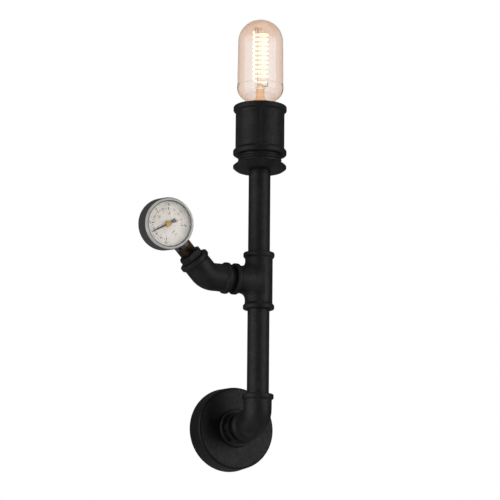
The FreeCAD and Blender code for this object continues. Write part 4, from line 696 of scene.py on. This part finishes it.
# %% [markdown]
# ## Where the dial lies
# The gauge is turned and leans with its arm, so its print is made in the dial's own axes first, with
# twelve o'clock away from the stem. The pointer's joint gives the centre and the way the dial faces,
# the arm's two angles give twelve o'clock, and one matrix lays the print on the gauge. The scale runs
# from 0 to 6 bar over three quarters of a turn, so a bar is 45 degrees.

# %% Set out the dial
ARM_LEAN = math.radians(45)
ARM_TWIST = math.radians(6)
ARM_WAY = Vector((-math.cos(ARM_LEAN), -math.sin(ARM_TWIST) * math.sin(ARM_LEAN),
                  math.cos(ARM_TWIST) * math.sin(ARM_LEAN)))
ZERO_ANGLE = math.radians(135)
BAR_ANGLE = math.radians(45)
pointer_joint = next(joint for joint in frame["joints"] if joint["name"] == "pointer_turn")
DIAL_OUT = -Vector(pointer_joint["axis"]).normalized()
DIAL_AXES = Matrix((ARM_WAY.cross(DIAL_OUT), ARM_WAY, DIAL_OUT)).transposed().to_4x4()
ON_DIAL = Matrix.Translation(Vector(pointer_joint["pos_m"])) @ DIAL_AXES


def dial_angle(bar):
    """Where a pressure stands, anticlockwise from twelve o'clock."""
    return ZERO_ANGLE - bar * BAR_ANGLE


print("dial centre", [round(v, 4) for v in ON_DIAL.translation])
print("dial facing", [round(v, 3) for v in DIAL_OUT])

# %% [markdown]
# ## Printed marks
# The scale is printed flat, far too thin to model, but as flat shapes a hair above the lacquer its
# marks stay sharp at any distance. A mark is a cube squeezed to a thin bar and turned to its pressure.

# %% Helper for marks
# The middle of the ink, from the gauge's centre along the way that the dial faces.
PRINT_LEVEL = 5.02 * MM
PRINT_THICK = 0.04 * MM


def tick(shape, bar, inner, outer, width):
    """A radial mark on the scale, with its sizes in millimetres."""
    size = Matrix.Diagonal((width * MM, (outer - inner) * MM, PRINT_THICK, 1.0))
    out = Matrix.Translation((0, (outer + inner) / 2 * MM, PRINT_LEVEL))
    turn = Matrix.Rotation(dial_angle(bar), 4, "Z")
    bmesh.ops.create_cube(shape, size=1.0, matrix=turn @ out @ size)


print("the print stands", round(PRINT_THICK / MM, 3), "mm proud of the lacquer")

# %% [markdown]
# ## Printed lettering
# Lettering starts as Blender's text, set upright and centred. It is made a mesh before it is put in
# place, and joins the marks of its scale, so that each scale is one piece.

# %% Helpers for lettering
# Share of the text size that a digit fills.
DIGIT_SHARE = 0.7
LETTER_STEPS = 4


def lettering(shape, text, across, along, tall):
    """Upright lettering, centred on a point of the dial in millimetres."""
    curve = bpy.data.curves.new("lettering", "FONT")
    curve.body = text
    curve.size = tall / DIGIT_SHARE * MM
    curve.align_x = "CENTER"
    curve.align_y = "CENTER"
    curve.extrude = PRINT_THICK / 2
    curve.resolution_u = LETTER_STEPS
    holder = bpy.data.objects.new("lettering", curve)
    bpy.context.scene.collection.objects.link(holder)
    bpy.context.view_layer.update()
    mesh = evaluated(holder)
    mesh.transform(Matrix.Translation((across * MM, along * MM, PRINT_LEVEL)))
    shape.from_mesh(mesh)
    bpy.data.objects.remove(holder)


def numeral(shape, text, bar, radius, tall):
    """A number beside the scale, at its pressure."""
    angle = dial_angle(bar)
    lettering(shape, text, -radius * math.sin(angle), radius * math.cos(angle), tall)


def printed(name, shape, ink):
    """Lay a print on the dial and finish it."""
    shape.transform(ON_DIAL)
    return finished(name, shape, ink)


print("a digit fills", DIGIT_SHARE, "of its text size")

# %% [markdown]
# ## The black scale
# The outer scale counts tenths of a bar. A mark's length tells its rank, so a small table gives, for
# every tenth, fifth and second step, where the mark starts and ends and how wide it is.

# %% Print the black scale
BAR_LIMIT = 6
# Tenths between marks, then inner end, outer end and width in millimetres.
BLACK_MARKS = ((10, 13.4, 16.0, 0.75), (5, 13.8, 15.6, 0.5), (2, 14.2, 15.3, 0.45))
BLACK_NUMERAL_RADIUS, BLACK_NUMERAL_TALL = 18.2, 3.2
BAR_WORD_ALONG, BAR_WORD_TALL = -9.4, 2.2


def black_scale():
    """Marks from 0 to 6 bar with a number at each whole one."""
    shape = bmesh.new()
    for step in range(10 * BAR_LIMIT + 1):
        ranks = [mark for tenths, *mark in BLACK_MARKS if step % tenths == 0]
        if ranks:
            tick(shape, step / 10, *ranks[0])
    for bar in range(BAR_LIMIT + 1):
        numeral(shape, str(bar), bar, BLACK_NUMERAL_RADIUS, BLACK_NUMERAL_TALL)
    lettering(shape, "bar", 0, BAR_WORD_ALONG, BAR_WORD_TALL)
    return printed("dial_black_scale", shape, dial_print)


black_scale()

# %% [markdown]
# ## The red scale
# The inner scale gives the same pressures in pounds per square inch, so its marks stand where those
# are on the scale of bars.

# %% Print the red scale
PSI_IN_BAR = 14.504
PSI_LIMIT = 80
PSI_STEP = 10
PSI_NUMERAL_STEP = 20
RED_MARK = (12.0, 13.0, 0.4)
RED_NUMERAL_RADIUS, RED_NUMERAL_TALL = 10.2, 2.4
PSI_WORD_ALONG, PSI_WORD_TALL = -12.6, 2.0


def red_scale():
    """Short marks from 0 to 80 psi, with every second one numbered."""
    shape = bmesh.new()
    for psi in range(0, PSI_LIMIT + 1, PSI_STEP):
        tick(shape, psi / PSI_IN_BAR, *RED_MARK)
    for psi in range(PSI_NUMERAL_STEP, PSI_LIMIT + 1, PSI_NUMERAL_STEP):
        numeral(shape, str(psi), psi / PSI_IN_BAR, RED_NUMERAL_RADIUS, RED_NUMERAL_TALL)
    lettering(shape, "psi", 0, PSI_WORD_ALONG, PSI_WORD_TALL)
    return printed("dial_red_scale", shape, red_print)


red_scale()

# %% [markdown]
# ## The painted shade at the window's edge
# Between the window and its ring the dial lies in a thin line of shade, painted as a dark ring. It is a
# small rectangle, spun once round the dial's axis and closed on itself.

# %% Lay the ring of painted shade
# A dark ring of painted shade, where the window meets its ring.
SHADE_LINE_RADIUS = 21.95 * MM
SHADE_LINE_WIDTH = 0.6 * MM
SHADE_LINE_LEVEL = 10.9 * MM
SHADE_LINE_PROUD = 0.15 * MM
SHADE_LINE_STEPS = 96


def window_seal():
    """A dark ring of painted shade between window and ring."""
    inner, top = SHADE_LINE_RADIUS - SHADE_LINE_WIDTH, SHADE_LINE_LEVEL + SHADE_LINE_PROUD
    shape = bmesh.new()
    spun_outline(shape, [(inner, 0, SHADE_LINE_LEVEL), (SHADE_LINE_RADIUS, 0, SHADE_LINE_LEVEL), (SHADE_LINE_RADIUS, 0, top),
                         (inner, 0, top)],
                 axis=(0, 0, 1), angle=2 * math.pi, steps=SHADE_LINE_STEPS, use_merge=True)
    return printed("window_seal", shape, stoved_enamel)


window_seal()

# %% [markdown]
# ## The backdrop
# The photograph is a cut-out on white. Matte black shows its shape by what it reflects, so the light
# from all round is kept dim, or the pipes would turn grey. Only what the camera looks at, straight or
# through glass, is white.

# %% Hang the backdrop
WHITE_SEEN = 1.0
LIGHT_GIVEN = 0.11


def seen_by_camera(tree):
    """1 for what the camera sees, straight or through glass, and 0 for what lights the object."""
    ray = add_node(tree, "ShaderNodeLightPath")
    either = add_node(tree, "ShaderNodeMath", {0: ray.outputs["Is Camera Ray"],
                                               1: ray.outputs["Is Transmission Ray"]},
                      operation="MAXIMUM")
    return either.outputs["Value"]


def studio_world():
    """White behind the object, dim as a light source."""
    world = bpy.data.worlds.new("studio")
    bpy.context.scene.world = world
    world.use_nodes = True
    tree = world.node_tree
    tree.nodes.clear()
    white = linear("#ffffff")
    dim = add_node(tree, "ShaderNodeBackground", {"Color": white, "Strength": LIGHT_GIVEN})
    full = add_node(tree, "ShaderNodeBackground", {"Color": white, "Strength": WHITE_SEEN})
    either = add_node(tree, "ShaderNodeMixShader", {0: seen_by_camera(tree),
                                                    1: dim.outputs["Background"],
                                                    2: full.outputs["Background"]})
    add_node(tree, "ShaderNodeOutputWorld", {"Surface": either.outputs["Shader"]})


studio_world()
bpy.context.scene.view_settings.view_transform = "Standard"
print("backdrop seen at", WHITE_SEEN, "and lighting at", LIGHT_GIVEN)

# %% [markdown]
# ## The lamps
# Large square lamps give the broad, faint highlights that a matte coat shows. One stands at the front
# right, a wider one at the left puts a soft edge on the pipes, and a weak one hangs above. They don't
# show through glass, or the bulb and the window would blaze.

# %% Set up the softboxes
# Place in metres, side in metres and power in watts.
SOFTBOXES = {
    "key_softbox": ((1.28, -1.773, 0.327), 1.6, 17.0),
    "side_softbox": ((-2.0, -0.25, 0.1), 2.2, 25.0),
    "top_softbox": ((0.1, -0.5, 2.0), 1.4, 5.0),
}
MIDDLE = (CAD_BOX[0] + CAD_BOX[1]) / 2


def softbox(name, place, side, watts):
    """A square lamp that faces the middle of the object."""
    lamp = bpy.data.lights.new(name, "AREA")
    lamp.size = side
    lamp.energy = watts
    box = bpy.data.objects.new(name, lamp)
    box.location = place
    box.visible_transmission = False
    box.rotation_euler = (MIDDLE - box.location).to_track_quat("-Z", "Y").to_euler()
    bpy.context.scene.collection.objects.link(box)
    print(f"{name}: {(MIDDLE - box.location).length:.2f} m away, {watts} W")


for name, (place, side, watts) in SOFTBOXES.items():
    softbox(name, place, side, watts)

# %% [markdown]
# ## The floor
# A pale matte floor well below the light, as in a photographer's room. It has the faint mottle of
# painted concrete, so that it isn't one flat colour. As with the backdrop, the camera sees it
# brighter than it lights the black pipes.

# %% Lay the floor
FLOOR_LEVEL = -0.8
FLOOR_HALF = 6.0
FLOOR_GLOW = 0.75


def floor_paint():
    """Pale paint that glows for the camera alone."""
    paint = moulded("pale_floor_paint", "#efeeec", "#e9e8e5", 0.7, 30.0, 0.2,
                    Emission_Color=linear("#f4f3f1"))
    tree = paint.node_tree
    glow = add_node(tree, "ShaderNodeMapRange", {"Value": seen_by_camera(tree), "To Max": FLOOR_GLOW})
    tree.links.new(glow.outputs["Result"], tree.nodes["Principled BSDF"].inputs["Emission Strength"])
    return paint


def floor():
    """One flat square, staged so that it isn't part of the light."""
    shape = bmesh.new()
    bmesh.ops.create_grid(shape, x_segments=2, y_segments=2, size=FLOOR_HALF,
                          matrix=Matrix.Translation((0, 0, FLOOR_LEVEL)))
    mesh = bpy.data.meshes.new("studio_floor")
    shape.to_mesh(mesh)
    shape.free()
    # Matte paint, rolled on concrete: pale and even, with hardly any gloss.
    mesh.materials.append(floor_paint())
    slab = bpy.data.objects.new("studio_floor", mesh)
    bpy.context.scene.collection.objects.link(slab)


floor()
print("floor at", FLOOR_LEVEL, "m,", 2 * FLOOR_HALF, "m across")
